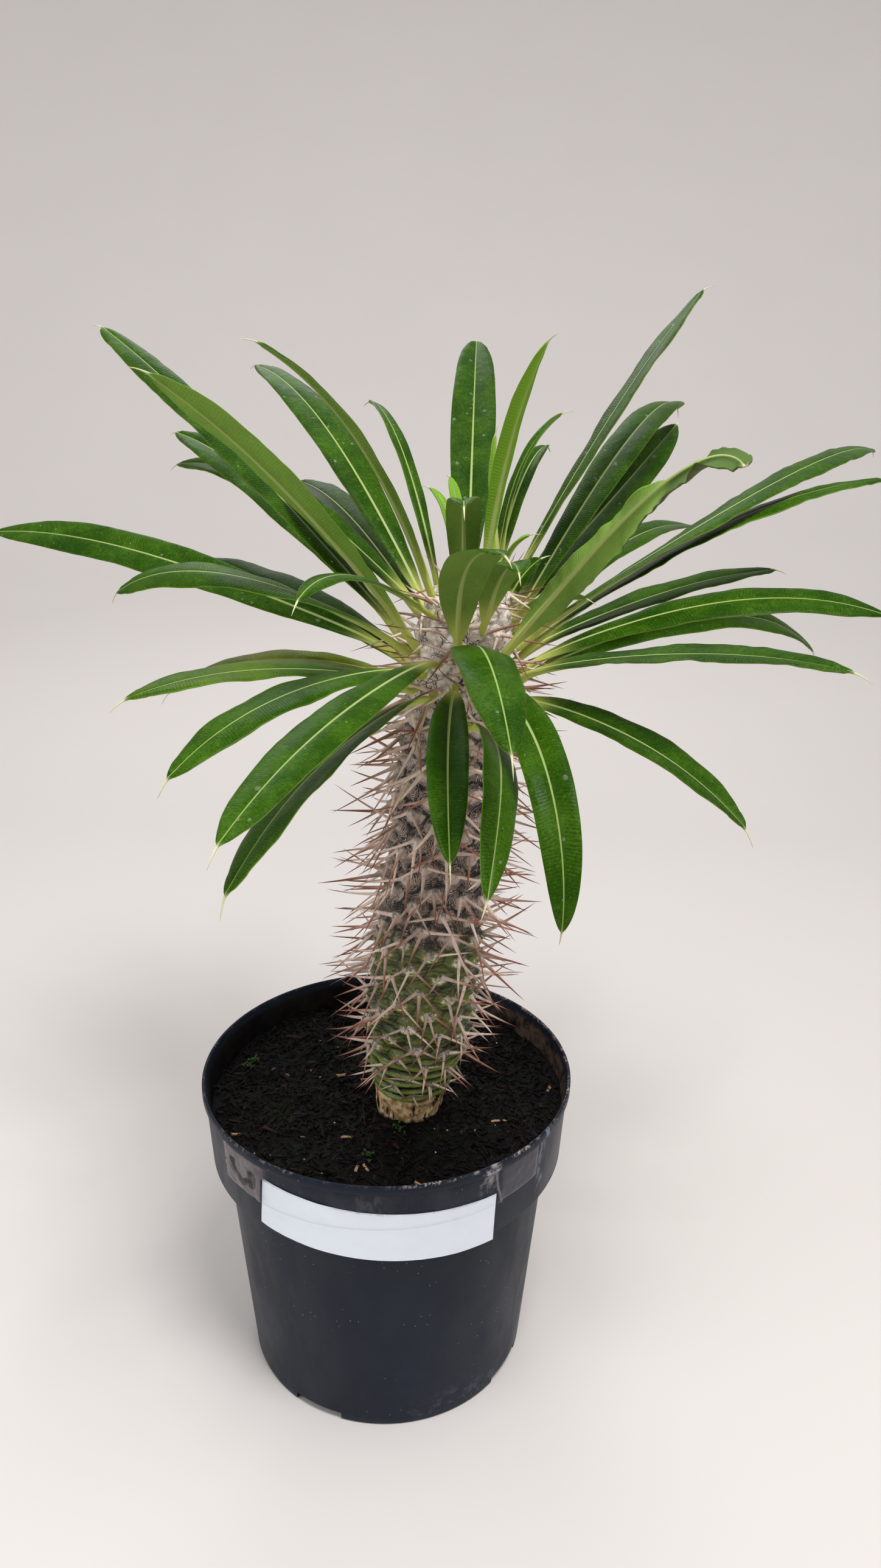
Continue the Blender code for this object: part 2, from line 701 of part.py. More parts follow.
def main():
    clear_scene()
    palm = new_collection("madagascar_palm")
    cutters = new_collection("cutters")
    make_pot(palm, cutters)
    soil = make_soil(palm)
    stem = make_stem_mesh()
    leaves = make_leaves(palm, surface_tree([stem]))
    make_trunk(palm, stem, leaves, soil)
    make_label(palm)
    make_tape(palm)


main()
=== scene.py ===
"""The looks of a potted madagascar palm: a leaning, spiny stem with a crown of strap leaves, in
bark compost in a round nursery pot. Sizes are in mm and heights are above the pot's foot."""

import math
import random

import bmesh
import bpy
import numpy as np
from mathutils import Matrix, Vector
from mathutils.bvhtree import BVHTree


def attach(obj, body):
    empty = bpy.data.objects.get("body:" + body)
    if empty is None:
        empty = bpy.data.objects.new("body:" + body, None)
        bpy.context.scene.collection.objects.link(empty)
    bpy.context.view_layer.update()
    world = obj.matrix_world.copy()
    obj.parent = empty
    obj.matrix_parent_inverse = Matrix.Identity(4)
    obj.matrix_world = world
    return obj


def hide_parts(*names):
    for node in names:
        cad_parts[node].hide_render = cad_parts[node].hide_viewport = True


MM = 0.001

# The camera: place in metres, tilt down and roll in degrees, focal length in the photo's pixels
PHOTO_LONG_SIDE = 2576
CAMERA_PLACE = (0.0325, -0.6596, 0.6565)
CAMERA_TILT = 20.66
CAMERA_ROLL = 0.75
CAMERA_FOCUS = 1936
SENSOR = 36.0

# The floor, in metres: how far it is flat, how far it goes and how steeply it sweeps up there
FLOOR_FLAT = 2.4
FLOOR_REACH = 7.0
FLOOR_SWEEP = 0.22

# The pot
RIM_RADIUS = 120
POT_HEIGHT = 210
LIP_DEPTH = 6
COLLAR_TOP_RADIUS = 118
COLLAR_FOOT_RADIUS = 115.2
COLLAR_FOOT_HEIGHT = 157
BODY_TOP_RADIUS = 106
BODY_TOP_HEIGHT = 153
FOOT_RADIUS = 93
WALL = 2.2
FLOOR_TOP = 8.5
FLOOR_UNDERSIDE = 6.5
FOOT_RING_WIDTH = 5
HUB_RADIUS = 15
NOTCH_DIRECTIONS = (63, 151, 243, 331)
NOTCH_WIDTH = 34
NOTCH_HEIGHT = 5.5
DRAIN_HOLES = 8
DRAIN_RADIUS = 4.5
DRAIN_CIRCLE = 70
POT_STEPS = 144

# The soil
SOIL_HEIGHT = 191
SOIL_CHIPS = 3600
SOIL_GRAINS = 26
SOIL_THREADS = 420
SOIL_REACH = 111
STEM_CLEARANCE = 22.5
TAN_SPLINTERS = 14
TAN_CHIPS = (
    (-91.6, -50.8, 10), (-22.9, -52.3, 5), (-9.4, -80.2, -60), (-16.2, 6.8, 15), (107.2, 2.0, 70),
    (-85.9, 102.8, 40), (72.5, -34.5, 12), (-31.0, 12.0, 20), (-14.5, -82.0, 80), (24.0, -96.0, -35),
)
SPROUT_LEAVES = 17
SPROUTS = ((-93.1, 28.4), (-8.2, -70.1), (9.1, -44.0), (-96.0, 22.0))

# The corners of each side of a chip
CHIP_FACES = ((0, 1, 3, 2), (4, 6, 7, 5), (0, 4, 5, 1), (2, 3, 7, 6), (0, 2, 6, 4), (1, 5, 7, 3))

# The stem
STEM_FOOT = (14.4, -15.0)
STEM_LEAN = 0.0957
STEM_LEAN_FROM = 190
BURIED = ((112, 9), (128, 15.5), (160, 19), (188, 20.6))
STEM_RADII = (
    (192, 20.8), (200, 21.5), (212, 24), (223, 26.5), (238, 30), (254, 32.5), (275, 33.2),
    (298, 32.8), (346, 31.2), (400, 29.6), (450, 28.2), (495, 26.8), (514, 25), (528, 20),
    (537, 12), (541, 5),
)
STEM_COLUMNS = 200
STEM_ROW = 1.1
GOLDEN_ANGLE = 137.508
AREOLES_FROM = 211
AREOLE_STEP = 1.18
AREOLE_COUNT = 270
SPINE_LENGTHS = ((200, 12), (225, 20), (255, 29), (300, 35), (380, 38), (470, 39), (530, 31))
SPINE_RADIUS = 1.05
SPINE_CLEARANCE = 1.2
SPINE_BENDS = ((0, 0), (0, 14), (0, -14), (18, 6), (-18, 6), (0, 28), (0, -28))

# One row a leaf, from leaf 1 on: direction round the stem, rise at its foot, droop by its tip,
# sideways sweep by its tip, roll about its midrib and further roll by its tip, in degrees, then its
# length, its width, how far its edges stand over its midrib and its foot's height, in mm
LEAVES = (
    (165, 45, 20, -22, -2, -7, 271, 27, -1, 493),
    (205, 51, 18, 6, 2, 26, 199, 26, 2, 500),
    (145, 35, 30, -13, -17, -4, 249, 27, 1, 492),
    (136, 38, 49, 5, 5, -29, 252, 26, 1, 484),
    (206, 66, 39, 1, -11, 5, 162, 26, 1, 527),
    (130, 46, 42, -8, -10, 5, 254, 26, 0, 506),
    (118, 62, 64, -9, 18, 6, 176, 12, 1, 509),
    (120, 29, 29, 0, 4, -11, 210, 26, 2, 494),
    (165, 39, 0, 0, -4, -6, 103, 24, 1, 516),
    (169, 19, 27, -18, -30, -10, 291, 26, 0, 489),
    (194, 28, 63, -43, 29, -67, 186, 27, -2, 497),
    (132, 15, 14, 12, -12, 2, 219, 26, 2, 474),
    (224, 28, 48, 32, -6, -5, 132, 13, -1, 519),
    (211, 14, 29, 3, -5, 3, 166, 27, 0, 480),
    (174, 9, 46, 4, -9, 15, 145, 27, 2, 478),
    (225, 5, 40, 3, -5, 1, 174, 27, -1, 491),
    (244, -1, 20, 5, -10, 8, 220, 26, -1, 499),
    (241, -2, 27, 9, 21, 0, 208, 26, 0, 480),
    (265, -4, 34, 8, -3, 7, 159, 20, 4, 484),
    (272, 23, 62, 6, -10, 10, 192, 27, -3, 495),
    (285, 10, 59, -28, -33, -6, 181, 20, 0, 462),
    (285, 11, 113, -3, 17, -1, 205, 21, 2, 483),
    (327, -5, 30, -16, 19, -26, 161, 25, 2, 476),
    (329, 16, 21, -5, 10, -5, 191, 26, 1, 485),
    (355, 24, 43, 0, 14, 11, 210, 26, -1, 485),
    (13, 19, 61, 22, 16, 16, 233, 24, 0, 475),
    (22, 18, 19, 2, 2, 3, 188, 26, 1, 488),
    (9, 34, 31, 2, -13, 17, 239, 26, -1, 490),
    (357, 33, 43, 62, -20, 30, 300, 26, -1, 499),
    (311, 44, 50, -44, -61, -110, 277, 26, 2, 493),
    (42, 28, 48, 10, -1, 8, 225, 25, 1, 489),
    (49, 27, 6, 10, 18, 10, 243, 28, 3, 501),
    (35, 51, 69, 37, -2, 0, 267, 27, 0, 494),
    (25, 56, 24, 23, -17, -9, 219, 26, 0, 523),
    (88, 44, 23, 0, -4, 10, 236, 28, 3, 516),
    (294, 74, 30, 2, 6, 13, 138, 12, 2, 533),
    (27, 85, 60, 9, -12, 0, 102, 10, 1, 531),
    (46, 75, 82, 24, 3, -8, 107, 13, 2, 525),
    (350, 95, 8, 0, 0, 0, 76, 11, 2, 534),
    (264, 51, 59, 29, 2, -7, 132, 25, -1, 502),
    (289, 53, 72, -14, 5, -1, 90, 20, 1, 513),
    (266, 62, 75, 4, 6, -2, 123, 17, 2, 517),
    (74, 10, 28, 0, 0, 0, 225, 27, 4, 484),
    (10, 62, 30, 0, 30, 0, 30, 12, 2, 521),
    (350, 26, 35, -10, -20, 0, 44, 14, 2, 516),
    (120, 86, 62, 20, 0, 0, 54, 8, 1, 532),
    (105, 82, 60, 0, 0, 0, 62, 7, 1, 531),
    (330, 82, 60, 20, 0, 0, 36, 6, 1, 530),
)
LEAF_STEPS = 60
LEAF_FINER = 2
BLADE = (
    (0.0, 0.16), (0.05, 0.14), (0.15, 0.42), (0.3, 0.76), (0.5, 0.98), (0.7, 0.97),
    (0.85, 0.79), (0.93, 0.54), (0.97, 0.33), (0.99, 0.17), (1.0, 0.05),
)
EDGE_THICKNESS = 0.8
EDGE_WAVE = 0.4
KEEL_AT_FOOT = 2.4
KEEL_AT_TIP = 0.5
BRISTLE = 11
PETIOLE_HALF = 2.3
HOOK_DEPTH = 4
HOOK_REACH = 9
PETIOLE_SAG = 0.8
FULL_LEAF_WIDTH = 27
ACROSS = (0.0, 0.06, 0.14, 0.28, 0.48, 0.68, 0.85, 0.95, 1.0)

# Leaves that differ, by number: bluntness of the tip, ruffling of the edges, painted shade towards
# the tip, freshness, yellowing, painted shade and light (dark above 0, light below) and drops of
# water
BLUNT_LEAVES = {1: 0.9, 8: 0.6, 35: 0.5}
RUFFLED_LEAVES = {30: 4.0, 28: 2.0, 29: 2.0, 24: 1.8, 1: 1.4}
PAINTED_SHADE_TIP_LEAVES = {30: 1.2}
YOUNG_LEAVES = {36: 1.0, 39: 0.6, 47: 0.7, 46: 0.7, 48: 0.8}
YELLOWED_LEAVES = {15: 0.8, 14: 0.15, 30: 0.2}
LEAF_PAINTED_SHADE_AND_LIGHT = {8: 0.8, 38: 0.4, 34: 0.3, 33: 0.3, 35: 0.3, 2: -0.5, 4: -0.9, 21: -0.5}
WET_LEAVES = {
    5: 26, 6: 40, 7: 24, 10: 26, 20: 8, 21: 7, 22: 16, 26: 18, 29: 16,
    32: 20, 33: 28, 34: 22, 35: 30, 3: 14, 1: 12, 27: 10, 36: 10, 17: 8,
}

# The label and the tape on the collar: directions in degrees
LABEL_FROM = 233.2
LABEL_TO = 305.7
LABEL_MIDDLE_TOP = 189.4
LABEL_TALL = 35
LABEL_TILT = -9.1
LABEL_SAG = 1.8
LABEL_SLANT = 2.2
TAPE_FROM = 214
TAPE_TO = 323.3
TAPE_TOP = 203
TAPE_FOOT = 178.2
TAPE_TILT = 4.5
TAPE_LIFT = 1.2
TAPE_FOLD = 306.0
TAPE_BUBBLE = (225, 192)
TAPE_BUBBLE_SIZE = (6.6, 11)


def ramp(value, start, end):
    share = np.clip((value - start) / (end - start), 0.0, 1.0)
    return share * share * (3.0 - 2.0 * share)


def through(x, points):
    """A smooth curve through (place, value) points."""
    places, values = (np.array(part, float) for part in zip(*points))
    slopes = np.gradient(values, places)
    k = np.clip(np.searchsorted(places, x, side="right") - 1, 0, len(places) - 2)
    span = places[k + 1] - places[k]
    t = (np.asarray(x, float) - places[k]) / span
    rest = 1.0 - t
    ends = values[k] * rest * rest * (1 + 2 * t) + values[k + 1] * t * t * (3 - 2 * t)
    return ends + span * t * rest * (rest * slopes[k] - t * slopes[k + 1])


def ripple(points, wavelength, seed):
    """Smooth noise of about -1 to 1 over points, from waves in many directions."""
    draw = np.random.default_rng(seed)
    total = np.zeros(points.shape[:-1])
    waves = 14
    for _ in range(waves):
        direction = draw.normal(size=3)
        direction *= 2.0 * math.pi / np.linalg.norm(direction) / wavelength
        direction *= draw.uniform(0.6, 1.5)
        total += np.sin(points @ direction + draw.uniform(0.0, 6.28))
    return total / math.sqrt(waves)


def around(radius, turn, height, centre=(0.0, 0.0)):
    """Points at radii, directions in radians and heights round an upright axis."""
    parts = (centre[0] + radius * np.cos(turn), centre[1] + radius * np.sin(turn), height)
    return np.stack(np.broadcast_arrays(*parts), -1)


def mesh_of(name, points, faces, attributes=None, outward=True):
    mesh = bpy.data.meshes.new(name)
    mesh.from_pydata((np.asarray(points).reshape(-1, 3) * MM).tolist(), [], faces)
    for key, values in (attributes or {}).items():
        layer = mesh.attributes.new(key, "FLOAT", "POINT")
        layer.data.foreach_set("value", np.asarray(values, np.float32).ravel())
    mesh.shade_smooth()
    if outward:
        bm = bmesh.new()
        bm.from_mesh(mesh)
        bmesh.ops.recalc_face_normals(bm, faces=bm.faces)
        bm.to_mesh(mesh)
        bm.free()
    return mesh


def grid_faces(rows, columns, start=0, wrap=True):
    across = np.arange(columns if wrap else columns - 1)
    row = np.arange(rows - 1)[:, None] * columns + start
    after = (across + 1) % columns
    quads = np.stack([row + across, row + after, row + columns + after, row + columns + across], -1)
    return quads.reshape(-1, 4).tolist()


def caps(rows, columns, start=0):
    first = list(range(start, start + columns))[::-1]
    last = list(range(start + (rows - 1) * columns, start + rows * columns))
    return [first, last]


def in_scene(name, data):
    obj = bpy.data.objects.new(name, data)
    bpy.context.scene.collection.objects.link(obj)
    return obj


def piece(name, mesh, finish, slot, *nodes):
    obj = in_scene(name, mesh)
    mesh.materials.append(finish)
    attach(obj, "root")
    if nodes:
        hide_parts(*nodes)
    return obj


class Value:
    """A number or colour in a Finish, which sums and products can be made of."""

    def __init__(self, finish, socket):
        self.finish = finish
        self.socket = socket

    def __add__(self, other):
        return self.finish.math("ADD", self, other)

    def __sub__(self, other):
        return self.finish.math("SUBTRACT", self, other)

    def __rsub__(self, other):
        return self.finish.math("SUBTRACT", other, self)

    def __mul__(self, other):
        return self.finish.math("MULTIPLY", self, other)

    def at_least(self, other):
        return self.finish.math("MAXIMUM", self, other)

    def span(self, low, high, start=0.0, end=1.0):
        """From start where this value is low to end where it is high, smoothly."""
        inputs = {0: self, 1: low, 2: high, 3: start, 4: end}
        return self.finish.node("MapRange", inputs, interpolation_type="SMOOTHSTEP")


class Finish:
    """A procedural material on one Principled shader, fed with numbers, colours and Values."""

    def __init__(self, name, **constants):
        self.material = bpy.data.materials.new(name)
        self.material.use_nodes = True
        self.tree = self.material.node_tree
        self.shader = self.tree.nodes["Principled BSDF"]
        self.set(**constants)

    def feed(self, socket, value):
        if isinstance(value, Value):
            self.tree.links.new(value.socket, socket)
        elif isinstance(value, tuple) and socket.type == "RGBA":
            socket.default_value = (*value, 1.0)
        else:
            socket.default_value = value

    def node(self, kind, inputs, output=0, **settings):
        node = self.tree.nodes.new("ShaderNode" + kind)
        for key, value in settings.items():
            setattr(node, key, value)
        for key, value in inputs.items():
            if value is not None:
                self.feed(node.inputs[key], value)
        return Value(self, node.outputs[output])

    def set(self, **values):
        for key, value in values.items():
            self.feed(self.shader.inputs[key.replace("_", " ")], value)
        return self.material

    def attributes(self, names):
        return [self.node("Attribute", {}, "Fac", attribute_name=name) for name in names.split()]

    def place(self, stretch=(1.0, 1.0, 1.0)):
        place = self.node("TexCoord", {}, "Object")
        return self.node("Mapping", {"Vector": place, "Scale": stretch})

    def noise(self, scale, detail=3.0, rough=0.5, vector=None, distortion=0.0):
        values = {"Vector": vector or self.place(), "Scale": scale, "Detail": detail}
        return self.node("TexNoise", values | {"Roughness": rough, "Distortion": distortion})

    def cells(self, scale, feature="DISTANCE_TO_EDGE", vector=None):
        values = {"Vector": vector or self.place(), "Scale": scale}
        return self.node("TexVoronoi", values, "Distance", feature=feature)

    def math(self, operation, a, b=0.0):
        return self.node("Math", {0: a, 1: b}, operation=operation)

    def mix(self, share, a, b):
        return self.node("Mix", {0: share, 6: a, 7: b}, 2, data_type="RGBA")

    def height(self):
        return self.node("SeparateXYZ", {0: self.place()}, 2)

    def towards(self, degrees):
        """The cosine of the angle between a point's direction round the pot and this one."""
        unit = self.node("VectorMath", {0: self.place((1.0, 1.0, 0.0))}, operation="NORMALIZE")
        turn = math.radians(degrees)
        aim = (math.cos(turn), math.sin(turn), 0.0)
        return self.node("VectorMath", {0: unit, 1: aim}, "Value", operation="DOT_PRODUCT")

    def bump(self, relief, distance):
        return self.node("Bump", {"Height": relief, "Distance": distance * MM, "Strength": 1.0})


def leaf_finish():
    f = Finish("leaf_blade", Specular_IOR_Level=0.06)
    across, along, share, under = f.attributes("across along share under")
    edge, tone, young, yellow = f.attributes("edge tone young yellow")
    off = f.math("ABSOLUTE", across)
    wander = f.noise(110) * 9.0
    vein_place = along - off * 0.28
    wave = f.math("SINE", vein_place * 3.7 + wander)
    vein = wave.span(0.2, 1.0) * off.span(0.6, 2.0) * edge.span(1.0, 0.9)
    fine = f.noise(800, 4, 0.65)
    patches = f.noise(45)
    # The upper side
    upper = f.mix(patches.span(0.3, 0.7), (0.014, 0.053, 0.001), (0.034, 0.096, 0.002))
    # Painted shade where a listed tone is above 0 and painted light where it is below 0; other
    # leaves get a small random tone
    upper = f.mix(tone.span(0.0, 1.0, 0.0, 0.85), upper, (0.014, 0.034, 0.004))
    upper = f.mix(tone.span(0.0, -1.0, 0.0, 0.6), upper, (0.06, 0.15, 0.005))
    mottle = f.noise(260, 6, 0.75).span(0.48, 0.66, 0.0, 0.45)
    upper = f.mix(mottle * patches.span(0.3, 0.6), upper, (0.075, 0.165, 0.014))
    dark_veins = f.noise(70).span(0.42, 0.62, 0.0, 0.5)
    upper = f.mix(vein * dark_veins, upper, (0.008, 0.03, 0.001))
    upper = f.mix(fine.span(0.5, 0.3, 0.0, 0.6), upper, (0.006, 0.02, 0.002))
    upper = f.mix(fine.span(0.56, 0.72, 0.0, 0.5), upper, (0.09, 0.18, 0.03))
    fresh = f.mix(vein * 0.4, (0.24, 0.46, 0.04), (0.11, 0.26, 0.015))
    upper = f.mix(young, upper, fresh)
    upper = f.mix(yellow * f.noise(30, 2).span(0.35, 0.7), upper, (0.26, 0.31, 0.012))
    rib_half = share.span(0.0, 1.0, 0.85, 0.3)
    rib = (off - rib_half).span(0.1, -0.1)
    upper = f.mix(rib, upper, f.mix(share, (0.42, 0.48, 0.2), (0.22, 0.32, 0.08)))
    margin = edge.span(0.97, 0.99) * f.noise(50, 2).span(0.35, 0.6, 0.3, 0.85)
    # The margin follows the tone as well: it is green where the leaf has painted light
    margin_colour = f.mix(tone.span(0.1, -0.4), (0.1, 0.085, 0.022), (0.13, 0.25, 0.02))
    upper = f.mix(margin, upper, margin_colour)
    # The underside
    stipple = f.noise(1500, 2, 0.7)
    lower = f.mix(patches.span(0.3, 0.7), (0.13, 0.22, 0.035), (0.2, 0.32, 0.06))
    lower = f.mix(stipple.span(0.4, 0.65, 0.0, 0.5), lower, (0.3, 0.43, 0.12))
    lower = f.mix(vein * 0.25, lower, (0.1, 0.17, 0.03))
    # The underside takes the same painted light below 0 and painted shade above 0
    lower = f.mix(tone.span(-0.3, -0.9, 0.15, 0.9), lower, (0.2, 0.42, 0.035))
    lower = f.mix(tone.span(0.5, 1.0, 0.0, 0.8), lower, (0.04, 0.085, 0.012))
    lower = f.mix(young, lower, fresh)
    keel_half = share.span(0.0, 1.0, 1.5, 0.35)
    keel = (off - keel_half).span(0.3, -0.3)
    lower = f.mix(keel, lower, f.mix(share, (0.52, 0.58, 0.2), (0.36, 0.46, 0.14)))
    # Both, with the stalk and the bristle at the tip
    colour = f.mix(under, upper, lower)
    stalk = along.span(46.0, 12.0) * share.span(0.32, 0.1)
    colour = f.mix(stalk * 0.95, colour, (0.5, 0.56, 0.13))
    bristle = f.mix(share.span(1.05, 1.12), (0.62, 0.6, 0.36), (0.6, 0.48, 0.34))
    colour = f.mix(share.span(0.99, 1.02), colour, bristle)
    rough = under.span(0.0, 1.0, 0.28, 0.55) + patches.span(0.3, 0.8, 0.0, 0.12)
    relief = vein * -0.3 + fine * 0.45
    relief = relief + f.noise(150) * 1.6
    return f.set(Base_Color=colour, Roughness=rough, Normal=f.bump(relief, 0.22))


def stem_finish():
    f = Finish("stem_skin", Specular_IOR_Level=0.5)
    height = f.height()
    apex, cell, near, rise, pick, ring = f.attributes("apex cell near rise pick ring")
    band = f.noise(55, 4, 0.6)
    shifted = height + (band - 0.5) * 0.06
    swing = height * 1900.0 + f.noise(90) * 22.0
    swing = swing + near * -0.35
    ridges = f.math("SINE", swing).span(-0.8, 0.9)
    wrinkles = f.noise(150, 6, 0.65, f.place((0.35, 0.35, 1.6)), 1.2)
    streak = wrinkles.span(0.5, 0.66)
    # The green foot
    # Mostly random tone, with a little painted light on the ridge crests and painted shade in their
    # grooves
    shade = ridges * 0.16 + f.noise(70, 4, 0.6) * 1.1
    green = f.mix(shade.span(0.42, 0.78), (0.014, 0.022, 0.005), (0.12, 0.15, 0.022))
    # Painted shade in the low ground between the cushions' swellings
    green = f.mix(cell.span(3.0, 0.4, 0.0, 0.75), green, (0.008, 0.013, 0.004))
    below = apex.span(0.15, 0.7) * rise.span(1.5, -2.0)
    lime = below * pick.span(0.05, 0.7) * ridges.span(0.0, 0.8, 0.5, 1.0)
    green = f.mix(lime * 0.85, green, (0.38, 0.42, 0.07))
    grain = f.noise(380, 3, 0.65).span(0.46, 0.58)
    # Painted highlight: white glints on the skin below the cushions
    glint = apex.span(0.35, 0.7) * grain * rise.span(2.0, -0.5) * rise.span(-7.0, -4.5)
    green = f.mix(glint * pick.span(0.25, 0.45), green, (0.85, 0.88, 0.78))
    flecks = f.cells(300, "F1").span(0.2, 0.1) * f.noise(90, 2).span(0.5, 0.6)
    green = f.mix(flecks * apex.span(0.2, 0.8, 0.1, 1.0), green, (0.62, 0.62, 0.55))
    # The foot's rings: the lime on their crests is the skin's colour, the dark in their grooves is
    # painted shade
    fresh = f.mix(ring.span(-0.7, 0.6), (0.012, 0.022, 0.004), (0.22, 0.3, 0.045))
    fresh = f.mix(streak * 0.5, fresh, (0.26, 0.32, 0.07))
    green = f.mix(height.span(0.25, 0.231), green, fresh)
    # The grey bark above it
    ripples = near + f.noise(230) * 5.0
    lines = f.math("SINE", ripples * 5.6).span(0.0, 0.4)
    net = f.cells(430, vector=f.place((1.0, 1.0, 0.6))).span(0.08, 0.02)
    lined = lines * f.noise(100).span(0.38, 0.5)
    dark = lined.at_least(net * f.noise(120, 2).span(0.45, 0.65, 0.0, 0.7))
    tan = f.noise(130, 5, 0.65)
    bark = f.mix(shifted.span(0.32, 0.37), (0.07, 0.06, 0.045), (0.3, 0.245, 0.205))
    bark = f.mix(tan.span(0.42, 0.6, 0.0, 0.85), bark, (0.56, 0.46, 0.39))
    bark = f.mix(dark * 0.93, bark, (0.011, 0.01, 0.011))
    # Painted shade in the hollows above the cushions and between them
    hollow = near.span(10.5, 6.0) * rise.span(0.0, 3.0) * pick.span(0.1, 0.3)
    hollow = hollow.at_least(cell.span(3.5, 1.0))
    hollow_shade = hollow * f.noise(150, 4, 0.7).span(0.42, 0.56)
    bark = f.mix(hollow_shade * 0.92, bark, (0.012, 0.013, 0.018))
    bark = f.mix(apex.span(0.4, 0.8) * rise.span(4.0, 1.0) * 0.9, bark, (0.62, 0.52, 0.46))
    bark = f.mix(flecks * 0.8, bark, (0.7, 0.66, 0.62))
    # The pale crown, with its dark cracks
    crown = f.mix(tan.span(0.35, 0.65), (0.6, 0.5, 0.43), (0.95, 0.88, 0.82))
    warp = f.node("TexNoise", {"Vector": f.place(), "Scale": 170.0}, "Color")
    shift = f.node("VectorMath", {0: warp, 1: (0.009, 0.009, 0.009)}, operation="MULTIPLY")
    warped = f.node("VectorMath", {0: f.place(), 1: shift}, operation="ADD")
    plates = f.cells(85, vector=warped).span(0.028, 0.01) * f.noise(60, 2).span(0.5, 0.56)
    cracks = f.cells(260, vector=warped).span(0.06, 0.02) * f.noise(75, 2).span(0.6, 0.64)
    arcs = lines * pick.span(0.62, 0.7) * near.span(9.0, 5.0) * rise.span(-1.0, 1.0)
    splits = plates.at_least(cracks.at_least(arcs))
    # The crown's dark marks also take the painted shade of the hollows
    splits = splits.at_least(hollow_shade * height.span(0.53, 0.45, 0.3, 0.85))
    crown = f.mix(splits * 0.93, crown, (0.018, 0.014, 0.015))
    # All of them, with the corky ring at the soil
    colour = f.mix(shifted.span(0.315, 0.33), green, bark)
    colour = f.mix(shifted.span(0.42, 0.48), colour, crown)
    cork = f.mix(f.noise(190, 4).span(0.35, 0.6), (0.34, 0.2, 0.08), (0.95, 0.68, 0.36))
    torn = f.noise(150, 5, 0.6, f.place((1.6, 1.6, 0.4))).span(0.56, 0.6)
    cork = f.mix(torn, cork, (0.008, 0.007, 0.006))
    foot = height + (band - 0.5) * 0.012
    colour = f.mix(foot.span(0.2095, 0.2065), colour, cork)
    colour = f.mix(foot.span(0.194, 0.19), colour, (0.012, 0.009, 0.007))
    rough = shifted.span(0.3, 0.34, 0.14, 0.85).at_least(foot.span(0.211, 0.207, 0.14, 0.9))
    relief = wrinkles * 0.35 + dark * height.span(0.315, 0.33, 0.0, -0.6)
    folds = height.span(0.345, 0.32, 0.08, 0.26) * height.span(0.21, 0.215)
    relief = relief + ridges * folds
    relief = relief + splits * height.span(0.4, 0.45, 0.0, -0.6)
    relief = relief + f.noise(700) * height.span(0.3, 0.33, 0.05, 0.25)
    return f.set(Base_Color=colour, Roughness=rough, Normal=f.bump(relief, 1.0))


def spine_finish():
    f = Finish("spine_horn", Specular_IOR_Level=0.3)
    share, tone = f.attributes("share tone")
    grain = f.noise(500)
    base = f.mix(tone, (0.46, 0.31, 0.25), (0.82, 0.66, 0.57))
    base = f.mix(grain.span(0.5, 0.75, 0.0, 0.4), base, (0.27, 0.15, 0.11))
    base = f.mix(share.span(0.14, 0.0, 0.0, 0.7), base, (0.62, 0.55, 0.49))
    reach = share - tone * 0.5
    colour = f.mix(reach.span(0.08, 0.5), base, (0.3, 0.12, 0.075))
    colour = f.mix(share.span(0.65, 1.0), colour, (0.1, 0.03, 0.02))
    return f.set(Base_Color=colour, Roughness=0.5, Normal=f.bump(grain, 0.15))


def wool_finish():
    f = Finish("areole_wool", Specular_IOR_Level=0.2)
    height = f.height()
    speck = f.noise(900)
    colour = f.mix(speck.span(0.4, 0.65), (0.16, 0.14, 0.12), (0.44, 0.4, 0.36))
    colour = f.mix(height.span(0.33, 0.42, 0.0, 0.8), colour, (0.6, 0.51, 0.45))
    return f.set(Base_Color=colour, Roughness=0.95, Normal=f.bump(speck, 0.5))


def soil_finish():
    f = Finish("soil_peat", Specular_IOR_Level=0.15)
    tone, = f.attributes("tone")
    grit = f.noise(650, 5, 0.7)
    peat = f.mix(grit.span(0.35, 0.7), (0.0008, 0.0006, 0.0007), (0.003, 0.0022, 0.0022))
    chip = f.mix(tone.span(0.2, 1.0), (0.0013, 0.001, 0.001), (0.009, 0.006, 0.0058))
    chip = f.mix(grit.span(0.45, 0.7, 0.0, 0.5), chip, (0.004, 0.003, 0.0028))
    colour = f.mix(tone.span(0.0, 0.05), peat, chip)
    away = f.node("Mapping", {"Vector": f.place((1.0, 1.0, 0.0)), "Location": (0.038, -0.03, 0.0)})
    away = f.node("VectorMath", {0: away}, "Value", operation="LENGTH")
    algae = away.span(0.026, 0.006) * f.noise(160, 4).span(0.42, 0.6)
    algae = algae.at_least(f.noise(28, 4).span(0.56, 0.68) * 0.5)
    colour = f.mix(algae * 0.8, colour, (0.009, 0.014, 0.003))
    colour = f.mix(tone.span(1.1, 1.3), colour, (0.05, 0.022, 0.014))
    colour = f.mix(tone.span(1.6, 1.9), colour, (0.42, 0.25, 0.14))
    colour = f.mix(tone.span(2.6, 2.9), colour, (0.5, 0.48, 0.46))
    rough = f.noise(300, 2).span(0.35, 0.65, 0.38, 0.85)
    return f.set(Base_Color=colour, Roughness=rough, Normal=f.bump(grit, 1.0))


def sprout_finish():
    f = Finish("sprout_green", Specular_IOR_Level=0.3)
    colour = f.mix(f.noise(400, 2), (0.015, 0.045, 0.006), (0.06, 0.13, 0.018))
    return f.set(Base_Color=colour, Roughness=0.6)


